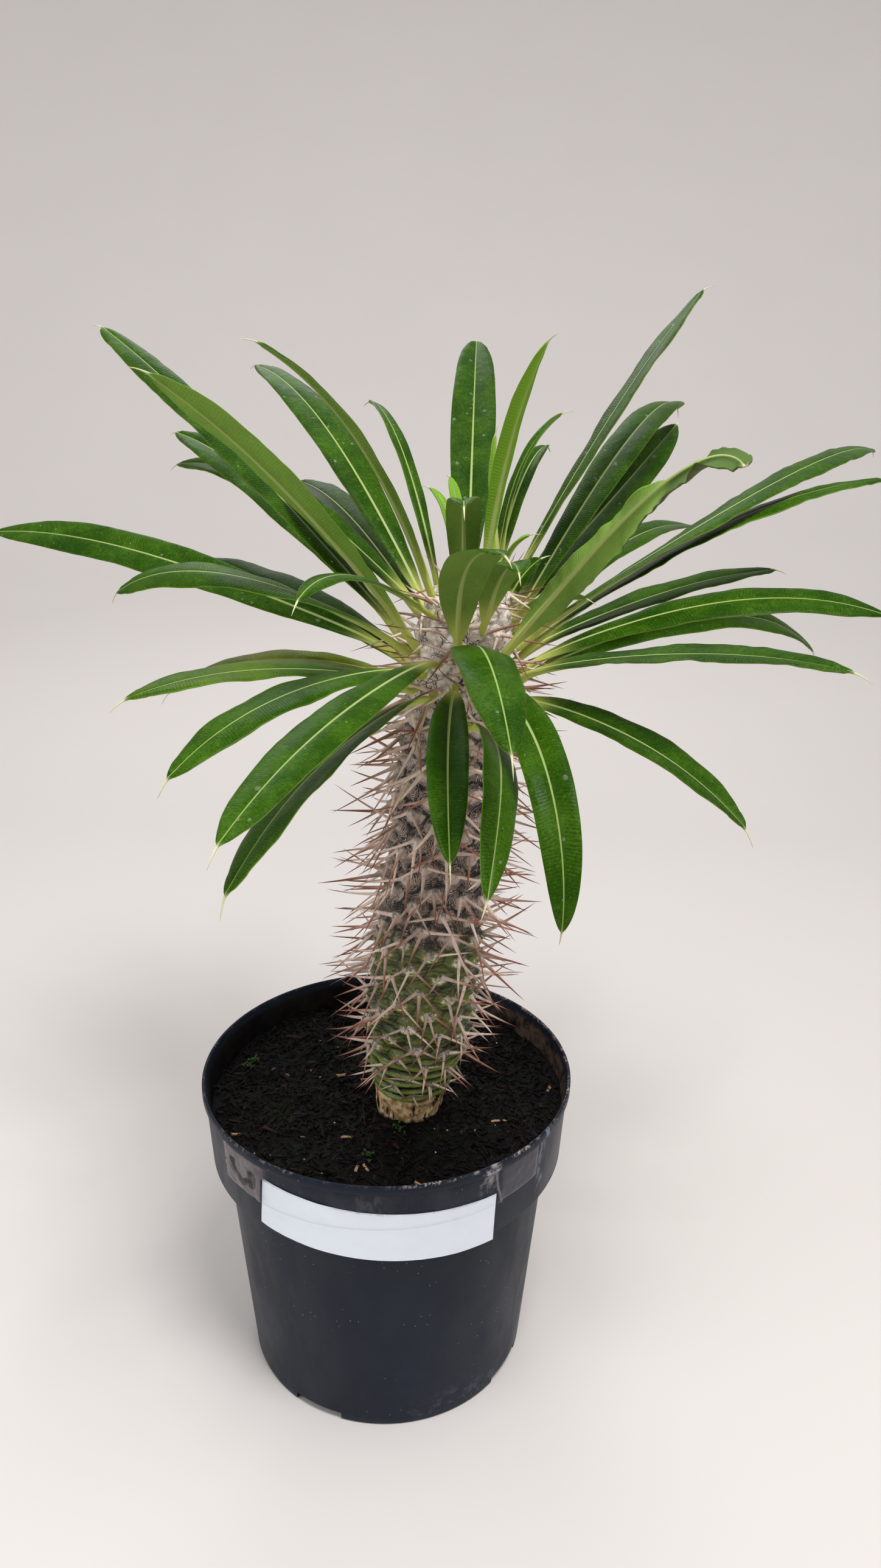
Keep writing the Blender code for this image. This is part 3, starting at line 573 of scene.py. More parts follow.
def pot_finish():
    f = Finish("pot_moulded", Specular_IOR_Level=0.2)
    height = f.height()
    cloud = f.noise(14, 4, 0.55)
    colour = f.mix(cloud.span(0.3, 0.75), (0.0035, 0.008, 0.019), (0.007, 0.0125, 0.026))
    haze = f.noise(40, 5, 0.65, f.place((1.0, 1.0, 0.4)))
    colour = f.mix(haze.span(0.55, 0.75, 0.0, 0.3), colour, (0.024, 0.034, 0.052))
    # Scuffs at the foot and specks all over
    low_right = f.towards(312).span(0.8, 0.99) * height.span(0.03, 0.0)
    scuff = f.noise(90, 5, 0.7).span(0.5, 0.62)
    colour = f.mix(low_right * scuff * 0.5, colour, (0.11, 0.14, 0.2))
    specks = f.cells(240, "F1")
    picked = f.noise(37, 1).span(0.54, 0.6)
    speck = specks.span(0.1, 0.05) * picked
    colour = f.mix(speck * 0.7, colour, (0.4, 0.4, 0.4))
    # Dried lime at the rim, and smears under it on the right, and a painted reflection on the collar
    sides = f.towards(318).span(0.6, 0.97).at_least(f.towards(12).span(0.3, 0.9))
    sides = sides.at_least(f.towards(243).span(0.97, 1.0, 0.0, 0.6))
    patch = f.noise(60).span(0.4, 0.58)
    crust_noise = f.noise(450, 5, 0.7)
    near_rim = height.span(0.2078, 0.2097)
    lime = near_rim * crust_noise.span(0.48, 0.56) * patch * sides.span(0.0, 1.0, 0.25, 1.0)
    colour = f.mix(lime * 0.8, colour, (0.5, 0.44, 0.42))
    collar = height.span(0.186, 0.2) * f.towards(303).span(0.9978, 0.9996)
    smear = collar * f.noise(120, 5, 0.7).span(0.42, 0.6)
    colour = f.mix(smear * 0.85, colour, (0.45, 0.42, 0.43))
    # Painted reflection: a narrow pale bluish upright streak on the collar, right of the tape
    streak = f.towards(326).span(0.9991, 0.9998) * height.span(0.158, 0.172)
    streak = streak * f.noise(160, 4, 0.6, f.place((1, 1, 0.35))).span(0.42, 0.6)
    colour = f.mix(streak * 0.6, colour, (0.24, 0.29, 0.38))
    # The inside, soiled on the right
    inside, = f.attributes("inside")
    soiled = f.noise(110, 5, 0.65).span(0.35, 0.65)
    right = f.towards(5).span(0.5, 0.98, 0.06, 1.0)
    wall = f.mix(soiled * right, (0.002, 0.002, 0.003), (0.13, 0.09, 0.07))
    colour = f.mix(inside, colour, f.mix(lime * 0.7, wall, (0.5, 0.42, 0.39)))
    scratches = f.noise(260, 3, 0.6, f.place((1.0, 1.0, 0.12)))
    rough = haze.span(0.3, 0.8, 0.4, 0.58)
    rough = rough + lime * 0.3
    relief = scratches * 0.25 + f.noise(900, 2) * 0.2
    relief = relief + lime * 1.2
    return f.set(Base_Color=colour, Roughness=rough, Normal=f.bump(relief, 0.3))


def label_finish():
    f = Finish("label_paper", Specular_IOR_Level=0.3)
    fibre = f.noise(1400)
    stain = f.noise(50, 4)
    colour = f.mix(stain.span(0.5, 0.8, 0.0, 0.3), (0.82, 0.89, 0.98), (0.74, 0.77, 0.85))
    return f.set(Base_Color=colour, Roughness=0.6, Normal=f.bump(fibre, 0.05))


def tape_finish():
    f = Finish("clear_tape", Roughness=0.26, Specular_IOR_Level=0.2)
    dirt = f.noise(420, 4, 0.7)
    cloud = f.noise(60, 4, 0.6)
    along, blister, over, border, fold = f.attributes("along blister over border fold")
    left = along.span(0.2, 0.16)
    right = along.span(0.845, 0.865)
    colour = f.mix(left, (0.095, 0.095, 0.115), (0.17, 0.15, 0.165))
    # The dirty bubble and the pale edge
    bubble = blister.span(0.25, 0.55) * dirt.span(0.66, 0.56)
    colour = f.mix(bubble, colour, (0.003, 0.003, 0.004))
    colour = f.mix(border * 0.7, colour, (0.34, 0.25, 0.27))
    # How much hides what is behind it
    veil = cloud.span(0.35, 0.75, 0.02, 0.14)
    # Painted highlight: pale streaks along the creases of the tape
    crease_highlight = f.noise(55, 5, 0.7, f.place((1.0, 1.0, 0.4))).span(0.57, 0.66) * 0.3
    veil = veil.at_least(crease_highlight)
    alpha = veil * (1.0 - over)
    sides = left * 0.7 + right * 0.5
    alpha = alpha + sides * (1.0 - over * 0.94)
    alpha = alpha.at_least(border * over.span(0.0, 1.0, 0.3, 0.12))
    alpha = alpha.at_least(blister * 0.95)
    colour = f.mix(fold, colour, (0.28, 0.26, 0.29))
    alpha = alpha.at_least(fold * 0.75)
    return f.set(Base_Color=colour, Alpha=alpha, Normal=f.bump(cloud, 0.35))


def drop_finish():
    f = Finish("water", Roughness=0.03, Alpha=0.17, Specular_IOR_Level=1.0)
    # The drops' pale colour is painted sheen
    return f.set(Base_Color=f.mix(f.noise(100, 1), (0.5, 0.62, 0.46), (0.64, 0.72, 0.6)))


def floor_finish():
    f = Finish("studio_floor", Specular_IOR_Level=0.1)
    colour = f.mix(f.noise(3, 2), (0.72, 0.685, 0.67), (0.75, 0.715, 0.7))
    return f.set(Base_Color=colour, Roughness=0.9)


def stem_centre(height):
    lean = np.maximum(0.0, np.asarray(height, float) - STEM_LEAN_FROM) * STEM_LEAN
    return STEM_FOOT[0] + lean, STEM_FOOT[1] + 0.0 * lean


def stem_radius(height):
    return np.interp(height, *zip(*(BURIED + STEM_RADII)))


def areoles():
    """Heights and directions of the spines' cushions, on one spiral round the stem."""
    k = np.arange(AREOLE_COUNT)
    return AREOLES_FROM + AREOLE_STEP * k, np.radians(GOLDEN_ANGLE * k) % (2 * math.pi)


def stem_relief(heights, directions):
    """How far the skin stands out, and what its material reads: how near each point is to a
    cushion, from 0 to 1 and in mm, its rise over it, a draw for it, how far the point is from
    the line between two cushions' swellings, and where it is across the foot's rings."""
    tops, sides = areoles()
    draws = np.random.default_rng(13).random(len(tops))
    radii = stem_radius(heights)
    nearest = np.full(heights.shape, 1e3)
    second = np.full(heights.shape, 1e3)
    rise = np.zeros(heights.shape)
    pick = np.zeros(heights.shape)
    for top, side, chosen in zip(tops, sides, draws):
        turn = (directions - side + math.pi) % (2 * math.pi) - math.pi
        away = np.hypot((heights - top + 1.5) * 1.2, radii * turn)
        closer = away < nearest
        second = np.where(closer, nearest, np.minimum(second, away))
        nearest = np.where(closer, away, nearest)
        rise = np.where(closer, heights - top, rise)
        pick = np.where(closer, chosen, pick)
    apex = np.exp(-(nearest / 5.6) ** 2)
    cell = second - nearest
    grown = ramp(heights, 224, 248)
    crown = ramp(heights, 430, 475)
    x = radii * np.cos(directions)
    y = radii * np.sin(directions)
    place = np.stack([x, y, heights], -1)
    wander = heights + 1.3 * ripple(place, 50, 3) + 0.06 * x
    ring = np.cos(2 * math.pi * wander / 6.4)
    rings = 1.4 * ring * ramp(heights, 205, 209) * (1 - ramp(heights, 232, 250))
    swell = grown * (1 - 0.6 * crown) * (4.4 * apex - 1.8)
    wrinkle = 0.6 * ripple(place * (0.45, 0.45, 2.0), 7, 8) * grown * (1 - 0.5 * crown)
    cracks = -1.1 * np.exp(-(cell / 1.0) ** 2) * ramp(heights, 320, 400)
    lumps = 0.5 * ripple(place, 16, 5) * (0.4 + 0.8 * crown)
    torn = 0.5 * ripple(place * (2.0, 2.0, 0.6), 9, 6) * (1 - ramp(heights, 204, 208))
    fade = 1 - ramp(heights, 530, 540)
    values = {"apex": apex * grown, "cell": cell, "near": nearest}
    values |= {"rise": rise, "pick": pick, "ring": ring}
    return fade * (rings + swell + wrinkle + cracks + lumps + torn), values


def make_stem():
    heights = np.concatenate([
        [height for height, _ in BURIED[:-1]],
        np.arange(186, STEM_RADII[-1][0], STEM_ROW),
        [STEM_RADII[-1][0]],
    ])
    turns = np.linspace(0, 2 * math.pi, STEM_COLUMNS, endpoint=False)
    height, turn = np.meshgrid(heights, turns, indexing="ij")
    relief, values = stem_relief(height, turn)
    smooth_radius = through(np.maximum(height, 186), ((186, 20.5), *STEM_RADII))
    radius = np.where(height < 186, stem_radius(height), smooth_radius) + relief
    points = around(radius, turn, height, stem_centre(height))
    faces = grid_faces(*height.shape) + caps(*height.shape)
    mesh = mesh_of("stem", points, faces, values, outward=False)
    return piece("stem", mesh, stem_finish(), "stem_bark", "trunk")


def leaf_frames(row):
    """Points along a leaf's midrib, with its run, its left side and its upper side at each."""
    turn, rise, droop, sweep, roll, twist, length, width, _, foot = row
    share = np.arange(LEAF_STEPS + 1)[:, None] / LEAF_STEPS
    pitch = np.radians(rise - droop * share * share)
    yaw = np.radians(turn + sweep * share)
    level = np.cos(pitch)
    run = np.hstack([np.cos(yaw) * level, np.sin(yaw) * level, np.sin(pitch)])
    left = np.hstack([-np.sin(yaw), np.cos(yaw), np.zeros_like(yaw)])
    lean = np.radians(roll + twist * share)
    side = left * np.cos(lean) + np.cross(run, left) * np.sin(lean)
    x, y = stem_centre(foot)
    reach = stem_radius(foot)
    start = np.array([x + reach * math.cos(yaw[0, 0]), y + reach * math.sin(yaw[0, 0]), foot])
    steps = np.vstack([np.zeros(3), np.cumsum(run[:-1], axis=0)])
    points = start + steps * length / LEAF_STEPS
    along = share * length / HOOK_REACH
    hook = HOOK_DEPTH * (np.exp(-along ** 2) + PETIOLE_SAG * along * np.exp(1 - along)) * level
    points[:, 2:] -= hook * min(1.0, width / FULL_LEAF_WIDTH)
    finer = np.arange(LEAF_STEPS * LEAF_FINER + 1) / LEAF_FINER
    lines = np.hstack([points, run, side, np.cross(run, side)])
    lines = np.stack([np.interp(finer, np.arange(LEAF_STEPS + 1), line) for line in lines.T], -1)
    return np.split(lines, 4, axis=1)


def leaf_mesh(number, name, row, phase):
    points, run, side, up = leaf_frames(row)
    length, width, cup = row[6:9]
    steps = len(points)
    full = min(1.0, width / FULL_LEAF_WIDTH)
    share = np.linspace(0, 1, steps)
    half = width / 2 * np.maximum(through(share, BLADE), 0.05)
    blunt = BLUNT_LEAVES.get(number, 0.0)
    rounded = 0.45 * width * np.sqrt(np.clip(1 - ((share - 0.8) / 0.2) ** 2, 0, 1))
    half = np.where(share > 0.8, half + blunt * (rounded - half), half)
    petiole = PETIOLE_HALF * (0.4 + 0.6 * full)
    half = np.where(share < 0.12, np.maximum(half, petiole), half)
    root = -2.5
    points = np.vstack([points[:1] + run[:1] * root, points])
    bristle = BRISTLE * (0.5 + 0.5 * min(1.0, length / 200))
    ahead = run[-1] - up[-1] * 0.1
    aim = run[-1] - up[-1] * 0.35
    ends = [
        points[-1] + (ahead * (1 - part) + aim * part) / np.linalg.norm(aim) * bristle * part
        for part in (0.15, 0.4, 0.7, 1.0)
    ]
    points = np.vstack([points, ends])
    pad = np.array([0] + list(range(steps)) + [steps - 1] * 4)
    side, up = side[pad], up[pad]
    half = np.concatenate([half[:1], half, [0.42, 0.32, 0.22, 0.06]])
    share = np.concatenate([share[:1] - 0.01, share, [1.02, 1.05, 1.085, 1.12]])
    t = np.array([-part for part in ACROSS[:0:-1]] + list(ACROSS))[::-1]
    body = ramp(share, 0.06, 0.2)[:, None] * (share < 0.99)[:, None]
    wave = EDGE_WAVE * np.sin(phase + 26 * share) * ramp(share, 0.15, 0.4) * (share < 0.95)
    wave *= width / FULL_LEAF_WIDTH
    draw = np.random.default_rng(99 + number)
    ruffle = np.zeros((len(share), len(t)))
    sides = np.where(t > 0, 0.0, 2.6)
    for turns, size in ((19, 0.35), (33, 0.22), (57, 0.12), (118, 0.1)):
        start = draw.uniform(0, 6.28)
        swing = draw.uniform(0, 6.28)
        local = 0.6 + 0.6 * np.sin(turns / 4 * share[:, None] * length / 220 + swing + sides)
        ruffle += size * local * np.sin(turns * share[:, None] * length / 220 + start + sides)
    ruffle *= RUFFLED_LEAVES.get(number, 1.0) * np.abs(t) ** 2.5 * (width / FULL_LEAF_WIDTH)
    across = half[:, None] * t
    size = np.abs(t)
    top = cup * np.minimum(1.0, 2 * half / width)[:, None] * (1.25 * size - 0.25 * size * size)
    top = top * (share < 1.01)[:, None] + 0.5 * full * body * np.sin(math.pi * size)
    top = top + wave[:, None] * t * np.sqrt(size) + ruffle * body
    top = top - 0.35 * body * np.exp(-(across / 0.8) ** 2)
    top = top - 0.3 * body * ramp(size, 0.9, 1.0)
    thin = EDGE_THICKNESS * (1 - 0.45 * ramp(size, 0.8, 1.0))
    thin = np.where((share > 1.01)[:, None], half[:, None], thin)
    thin = thin + 1.1 * full * (1 - ramp(share * length, 12, 30))[:, None] * (1 - 0.6 * size * size)
    keel = (KEEL_AT_FOOT + (KEEL_AT_TIP - KEEL_AT_FOOT) * np.clip(share, 0, 1))
    keel = keel * (float(ramp(width, 2, 20)) * 0.5 + 0.5)
    keel = np.where(share > 1.0, half * 0.8, keel)
    stalk = 1 - ramp(share * length, 12, 34)
    keel_half = 1.5 - 0.9 * np.clip(share, 0, 1) + 0.9 * stalk * full
    low = top - thin - keel[:, None] * np.exp(-(across / keel_half[:, None]) ** 2)
    top = top + thin / 2
    low = low + thin / 2
    place = points[:, None, :] + side[:, None, :] * across[..., None]
    upper = place + up[:, None, :] * top[..., None]
    lower = (place + up[:, None, :] * low[..., None])[:, ::-1]
    rings = np.concatenate([upper, lower], axis=1)
    rows, columns = rings.shape[:2]
    flat = np.broadcast_to
    # Listed tones are painted shade and light, and leaf 30 gets more painted shade towards its tip;
    # other leaves draw a random tone
    tone = np.full(rows, LEAF_PAINTED_SHADE_AND_LIGHT.get(number, draw.uniform(-0.5, 0.3)))
    tone += PAINTED_SHADE_TIP_LEAVES.get(number, 0.0) * ramp(share, 0.55, 0.8)
    values = {
        "across": np.concatenate([across, across[:, ::-1]], 1),
        "along": flat((share * length)[:, None], (rows, columns)),
        "share": flat(share[:, None], (rows, columns)),
        "edge": flat(np.concatenate([size, size[::-1]]), (rows, columns)),
        "under": flat(np.repeat((0.0, 1.0), len(t)), (rows, columns)),
        "tone": flat(tone[:, None], (rows, columns)),
        "young": np.full((rows, columns), YOUNG_LEAVES.get(number, 0.0)),
        "yellow": np.full((rows, columns), YELLOWED_LEAVES.get(number, 0.0)),
    }
    return mesh_of(name, rings, grid_faces(rows, columns) + caps(rows, columns), values), upper


def make_leaves():
    finish = leaf_finish()
    draw = random.Random(5)
    made = {}
    for number, row in enumerate(LEAVES, 1):
        name = f"leaf_{number:02d}"
        mesh, upper = leaf_mesh(number, name, row, draw.uniform(0.0, 6.0))
        made[number] = (piece(name + "_blade", mesh, finish, "leaf_green", name), upper)
    return made


def tubes(paths, radii, sides):
    """Closed tubes along paths of equally many points: the points, the faces and which point of
    its path each belongs to, as a share."""
    count, steps = paths.shape[:2]
    run = np.gradient(paths, axis=1)
    run /= np.linalg.norm(run, axis=-1, keepdims=True)
    helper = np.where(np.abs(run[..., 2:]) < 0.9, (0.0, 0.0, 1.0), (1.0, 0.0, 0.0))
    one = np.cross(run, helper)
    one /= np.linalg.norm(one, axis=-1, keepdims=True)
    two = np.cross(run, one)
    turns = np.arange(sides) * 2 * math.pi / sides
    ring = one[..., None, :] * np.cos(turns)[:, None] + two[..., None, :] * np.sin(turns)[:, None]
    points = paths[:, :, None, :] + ring * radii[..., None, None]
    faces = []
    for k in range(count):
        start = k * steps * sides
        faces += grid_faces(steps, sides, start) + caps(steps, sides, start)
    share = np.broadcast_to(np.linspace(0, 1, steps)[None, :, None], (count, steps, sides))
    return points, faces, share


def direction(turn, pitch):
    level = math.cos(pitch)
    return Vector((level * math.cos(turn), level * math.sin(turn), math.sin(pitch)))


def spine_rows(draw):
    """Foot height and direction, yaw and pitch of each spine and its share of the full length:
    two or three for each cushion, then one beside the foot of each leaf."""
    for height, turn in zip(*areoles()):
        tilt = draw.uniform(-24, 10)
        reach = 1.6 / stem_radius(height)
        for side in (-1, 1):
            yaw = side * draw.uniform(14, 66)
            if height < 500 or draw.random() < 0.85:
                pitch = tilt + draw.uniform(-22, 22)
                yield height, turn + side * reach, yaw, pitch, draw.uniform(0.72, 1.08)
        if height < 505 and draw.random() < 0.6:
            pitch = draw.uniform(-62, -14)
            yield height - 1.5, turn, draw.uniform(-30, 30), pitch, draw.uniform(0.6, 1.0)
    for k, row in enumerate(LEAVES):
        turn, rise, foot = row[0], row[1], row[-1]
        side = 1 - 2 * (k % 2)
        pitch = 0.3 * rise + draw.uniform(0, 14)
        yield foot - 4, math.radians(turn + side * 10), side * draw.uniform(28, 48), pitch, 0.85


def clear_of(start, end, skin):
    run = end - start
    if skin.ray_cast(start, run, run.length)[0] is not None:
        return False
    steps = max(3, int(run.length / (2.5 * MM)))
    return all(
        skin.find_nearest(start + run * (k / steps), SPINE_CLEARANCE * MM)[0] is None
        for k in range(2, steps + 1)
    )


def skin_of(*objects):
    points = []
    faces = []
    for obj in objects:
        start = len(points)
        points += [vertex.co.copy() for vertex in obj.data.vertices]
        faces += [[start + k for k in face.vertices] for face in obj.data.polygons]
    return BVHTree.FromPolygons(points, faces)


def on_skin(skin, height, turn):
    """The point of the stem's skin at a height and direction, in metres."""
    x, y = stem_centre(height)
    outward = direction(turn, 0.0)
    axis = Vector((float(x), float(y), float(height))) * MM
    return skin.ray_cast(axis + outward * 60 * MM, -outward)[0]


def make_spines(stem, others):
    draw = random.Random(11)
    stem_skin = skin_of(stem)
    others_skin = skin_of(*others)
    paths = []
    radii = []
    tones = []
    pads = []
    steps = np.array([0.0, 0.04, 0.1, 0.25, 0.45, 0.65, 0.84, 1.0])
    thick = np.array([1.9, 1.35, 1.08, 0.88, 0.68, 0.46, 0.26, 0.04])
    for height, turn, yaw, pitch, part in spine_rows(draw):
        full = float(np.interp(height, *zip(*SPINE_LENGTHS)))
        length = full * part * draw.uniform(0.85, 1.12)
        hit = on_skin(stem_skin, height, turn)
        curl = draw.uniform(-0.12, 0.14)
        swerve = draw.uniform(-0.12, 0.12)
        tone = draw.random()
        size = (0.75 + 0.25 * min(1.25, full / 30)) * draw.uniform(0.72, 1.12)
        if hit is None or length < 6:
            continue
        for bend, lift in SPINE_BENDS:
            run = direction(turn + math.radians(yaw + bend), math.radians(pitch + lift))
            if clear_of(hit + run * MM, hit + run * length * MM, others_skin):
                aside = run.cross(Vector((0.0, 0.0, 1.0))) * swerve
                arch = np.array(aside + Vector((0.0, 0.0, 1.0)) * curl)
                foot = np.array(hit) / MM - np.array(run) * 1.5
                reach = steps[:, None] * (length + 1.5)
                paths.append(foot + reach * np.array(run) + reach * (steps[:, None] - 0.35) * arch)
                radii.append(thick * SPINE_RADIUS * size)
                tones.append(tone)
                break
    for height, turn in zip(*areoles()):
        hit = on_skin(stem_skin, height, turn)
        if hit is not None:
            pads.append((np.array(hit) / MM, turn, draw.uniform(0.6, 0.95)))
    points, faces, share = tubes(np.array(paths), np.array(radii), 6)
    share = np.broadcast_to(steps[None, :, None], share.shape)
    tone = np.broadcast_to(np.array(tones)[:, None, None], share.shape)
    mesh = mesh_of("spines", points, faces, {"share": share, "tone": tone})
    piece("spines", mesh, spine_finish(), "stem_bark", "trunk")
    make_pads(pads)


def make_pads(pads):
    """A low woolly cushion where each group of spines stands."""
    draw = np.random.default_rng(21)
    rings = ((1.0, -0.6), (0.95, 0.2), (0.65, 0.8), (0.25, 1.05))
    sides = 9
    points = []
    faces = []
    for place, turn, size in pads:
        out = np.array([math.cos(turn), math.sin(turn), 0.0])
        along = np.array([-math.sin(turn), math.cos(turn), 0.0])
        start = len(points)
        for radius, rise in rings:
            for k in range(sides):
                angle = 2 * math.pi * k / sides
                reach = radius * size * draw.uniform(0.85, 1.2)
                wide = along * math.cos(angle) * 2.9 * reach
                tall = np.array([0.0, 0.0, math.sin(angle) * 1.9 * reach])
                points.append(place + wide + tall + out * rise * size * draw.uniform(0.8, 1.1))
        faces += grid_faces(len(rings), sides, start) + caps(len(rings), sides, start)
    mesh = mesh_of("areoles", np.array(points), faces)
    piece("areoles", mesh, wool_finish(), "stem_bark", "trunk")


def inner_profile():
    return (
        (FOOT_RADIUS - WALL - 1.5, FLOOR_TOP),
        (FOOT_RADIUS - WALL + 0.4, FLOOR_TOP + 2),
        (BODY_TOP_RADIUS - WALL, BODY_TOP_HEIGHT - 1),
        (COLLAR_FOOT_RADIUS - WALL - 0.4, COLLAR_FOOT_HEIGHT + 1),
        (COLLAR_TOP_RADIUS - WALL, POT_HEIGHT - LIP_DEPTH),
    )


def wall_radius(height):
    radii, heights = zip(*inner_profile())
    return np.interp(height, heights, radii) - 0.3


def soil_level(x, y):
    """The height of the soil's surface at a place."""
    place = np.stack([x, y, 0.0 * x], -1)
    lumps = 1.1 * ripple(place, 34, 31) + 0.7 * ripple(place, 13, 32) + 0.4 * ripple(place, 5.5, 33)
    return SOIL_HEIGHT + np.clip(lumps, -3.0, 3.0)


def make_soil():
    columns = 288
    turns = np.linspace(0, 2 * math.pi, columns, endpoint=False)
    hole = stem_radius(SOIL_HEIGHT) - 0.5
    wall = float(wall_radius(SOIL_HEIGHT))
    shares = np.linspace(0, 1, 84)[:, None]
    reach = hole * (1 - shares) + wall * shares
    x = STEM_FOOT[0] * (1 - shares) + reach * np.cos(turns)
    y = STEM_FOOT[1] * (1 - shares) + reach * np.sin(turns)
    rings = [around(radius + 0.4, turns, height - 0.4, STEM_FOOT) for height, radius in BURIED[:-1]]
    rings += list(np.stack([x, y, soil_level(x, y)], -1))
    for radius, height in reversed(inner_profile()[:4]):
        rings.append(around(radius - 0.4, turns, height + 0.4))
    rows = len(rings)
    faces = grid_faces(rows, columns) + caps(rows, columns)
    mesh = mesh_of("soil_bed", rings, faces, {"tone": np.zeros(rows * columns)})
    finish = soil_finish()
    bed = piece("soil_bed", mesh, finish, "soil_mix", "soil")
    make_chips(finish)
    return bed


def sliver(draw, place, size, yaw, tilt):
    """The eight corners of an uneven flat chip."""
    length, wide, thick = size
    corners = np.array([
        (sx, sy, sz) for sx in (-0.5, 0.5) for sy in (-0.5, 0.5) for sz in (-0.5, 0.5)
    ])
    corners += draw.uniform(-0.16, 0.16, (8, 3))
    corners *= (length, wide, thick)
    turned = Matrix.Rotation(yaw, 3, "Z") @ Matrix.Rotation(tilt[0], 3, "X")
    turned = turned @ Matrix.Rotation(tilt[1], 3, "Y")
    return corners @ np.array(turned).T + place


def chip_mesh(name, chips, values=None):
    faces = [[8 * k + corner for corner in face] for k in range(len(chips)) for face in CHIP_FACES]
    return mesh_of(name, np.concatenate(chips), faces, values)


def soil_place(draw):
    """A place on the soil that is clear of the stem and the wall."""
    while True:
        x, y = draw.uniform(-SOIL_REACH - 1, SOIL_REACH + 1, 2)
        apart = math.hypot(x - STEM_FOOT[0], y - STEM_FOOT[1])
        if math.hypot(x, y) < SOIL_REACH and apart > STEM_CLEARANCE:
            return x, y


def make_chips(finish):
    draw = np.random.default_rng(41)
    chips = []
    tones = []

    def lay(x, y, size, yaw, tilt, tone, lift=0.25):
        place = np.array([x, y, soil_level(x, y) + size[2] * 0.3 + lift])
        chips.append(sliver(draw, place, size, yaw, tilt))
        tones.append(np.full(8, tone))

    for k in range(SOIL_CHIPS):
        x, y = soil_place(draw)
        length = 1.5 + draw.exponential(1.6)
        wide = draw.uniform(0.8, 1.8)
        if k % 5 == 0:
            length = draw.uniform(4.0, 11.0)
            wide = draw.uniform(1.0, 2.6)
        size = (min(length, 11.0), wide, draw.uniform(0.4, 1.1))
        tone = 1.2 if draw.random() < 0.03 else draw.uniform(0.1, 1.0)
        lay(x, y, size, draw.uniform(0, 6.28), draw.normal(0, 0.3, 2), tone)
    for x, y, yaw in TAN_CHIPS:
        size = (draw.uniform(5, 8.5), draw.uniform(1.0, 1.8), 0.8)
        lay(x, y, size, math.radians(yaw), (0.1, 0.1), 2.0, 0.9)
    for _ in range(TAN_SPLINTERS):
        x, y = soil_place(draw)
        lay(x, y, (draw.uniform(1.5, 3.5), 0.8, 0.5), draw.uniform(0, 6.28), (0.1, 0.1), 1.75, 0.7)
    for _ in range(SOIL_GRAINS):
        x, y = soil_place(draw)
        size = draw.uniform(0.4, 1.0) * draw.uniform(0.7, 1.3, 3)
        lay(x, y, size, draw.uniform(0, 6.28), draw.normal(0, 0.5, 2), 3.0, 0.6)
    mesh = chip_mesh("soil_chips", chips, {"tone": np.concatenate(tones)})
    mesh.shade_flat()
    piece("soil_chips", mesh, finish, "soil_mix")
    make_threads(finish)


def make_threads(finish):
    """Shreds of bark, and thin dry roots, that lie on the soil."""
    draw = np.random.default_rng(51)
    steps = 9
    paths = []
    radii = []
    tones = []
    roots = [((-34.0, 2.0), -0.75, 38.0, 0.5, 1.5), ((-12.0, -40.0), 2.2, 26.0, 0.4, 1.5)]
    for _ in range(SOIL_THREADS):
        start = soil_place(draw)
        roots.append((start, draw.uniform(0, 6.28), draw.uniform(5, 17), draw.uniform(0.2, 0.5),
                      draw.choice((0.3, 0.6, 0.9, 1.15))))
    for (x, y), yaw, length, radius, tone in roots:
        path = []
        for _ in range(steps):
            path.append((x, y, soil_level(x, y) + 0.9 + draw.uniform(0, 0.5)))
            yaw += draw.normal(0, 0.22)
            x += math.cos(yaw) * length / steps
            y += math.sin(yaw) * length / steps
        reach = max(math.hypot(px, py) for px, py, _ in path)
        apart = min(math.hypot(px - STEM_FOOT[0], py - STEM_FOOT[1]) for px, py, _ in path)
        if reach < SOIL_REACH - 1 and apart > STEM_CLEARANCE - 0.5:
            paths.append(path)
            radii.append(np.linspace(1.0, 0.5, steps) * radius)
            tones.append(tone)
    points, faces, share = tubes(np.array(paths), np.array(radii), 5)
    tone = np.broadcast_to(np.array(tones)[:, None, None], share.shape)
    mesh = mesh_of("soil_roots", points, faces, {"tone": tone})
    piece("soil_roots", mesh, finish, "soil_mix")


def make_sprouts():
    draw = np.random.default_rng(61)
    chips = []
    for x, y in SPROUTS:
        for _ in range(SPROUT_LEAVES):
            px, py = x + draw.normal(0, 1.8), y + draw.normal(0, 1.8)
            tilt = (draw.normal(0, 0.5), draw.uniform(-1.2, -0.3))
            size = (draw.uniform(1.6, 3.0), draw.uniform(0.8, 1.3), 0.3)
            place = np.array([px, py, soil_level(px, py) + draw.uniform(0.8, 2.2)])
            chips.append(sliver(draw, place, size, draw.uniform(0, 6.28), tilt))
    piece("sprouts", chip_mesh("sprouts", chips), sprout_finish(), "leaf_green")


def body_side(height):
    share = (height - 1.2) / (BODY_TOP_HEIGHT - 1.8)
    return FOOT_RADIUS + 0.1 + (BODY_TOP_RADIUS - FOOT_RADIUS - 0.1) * share, height


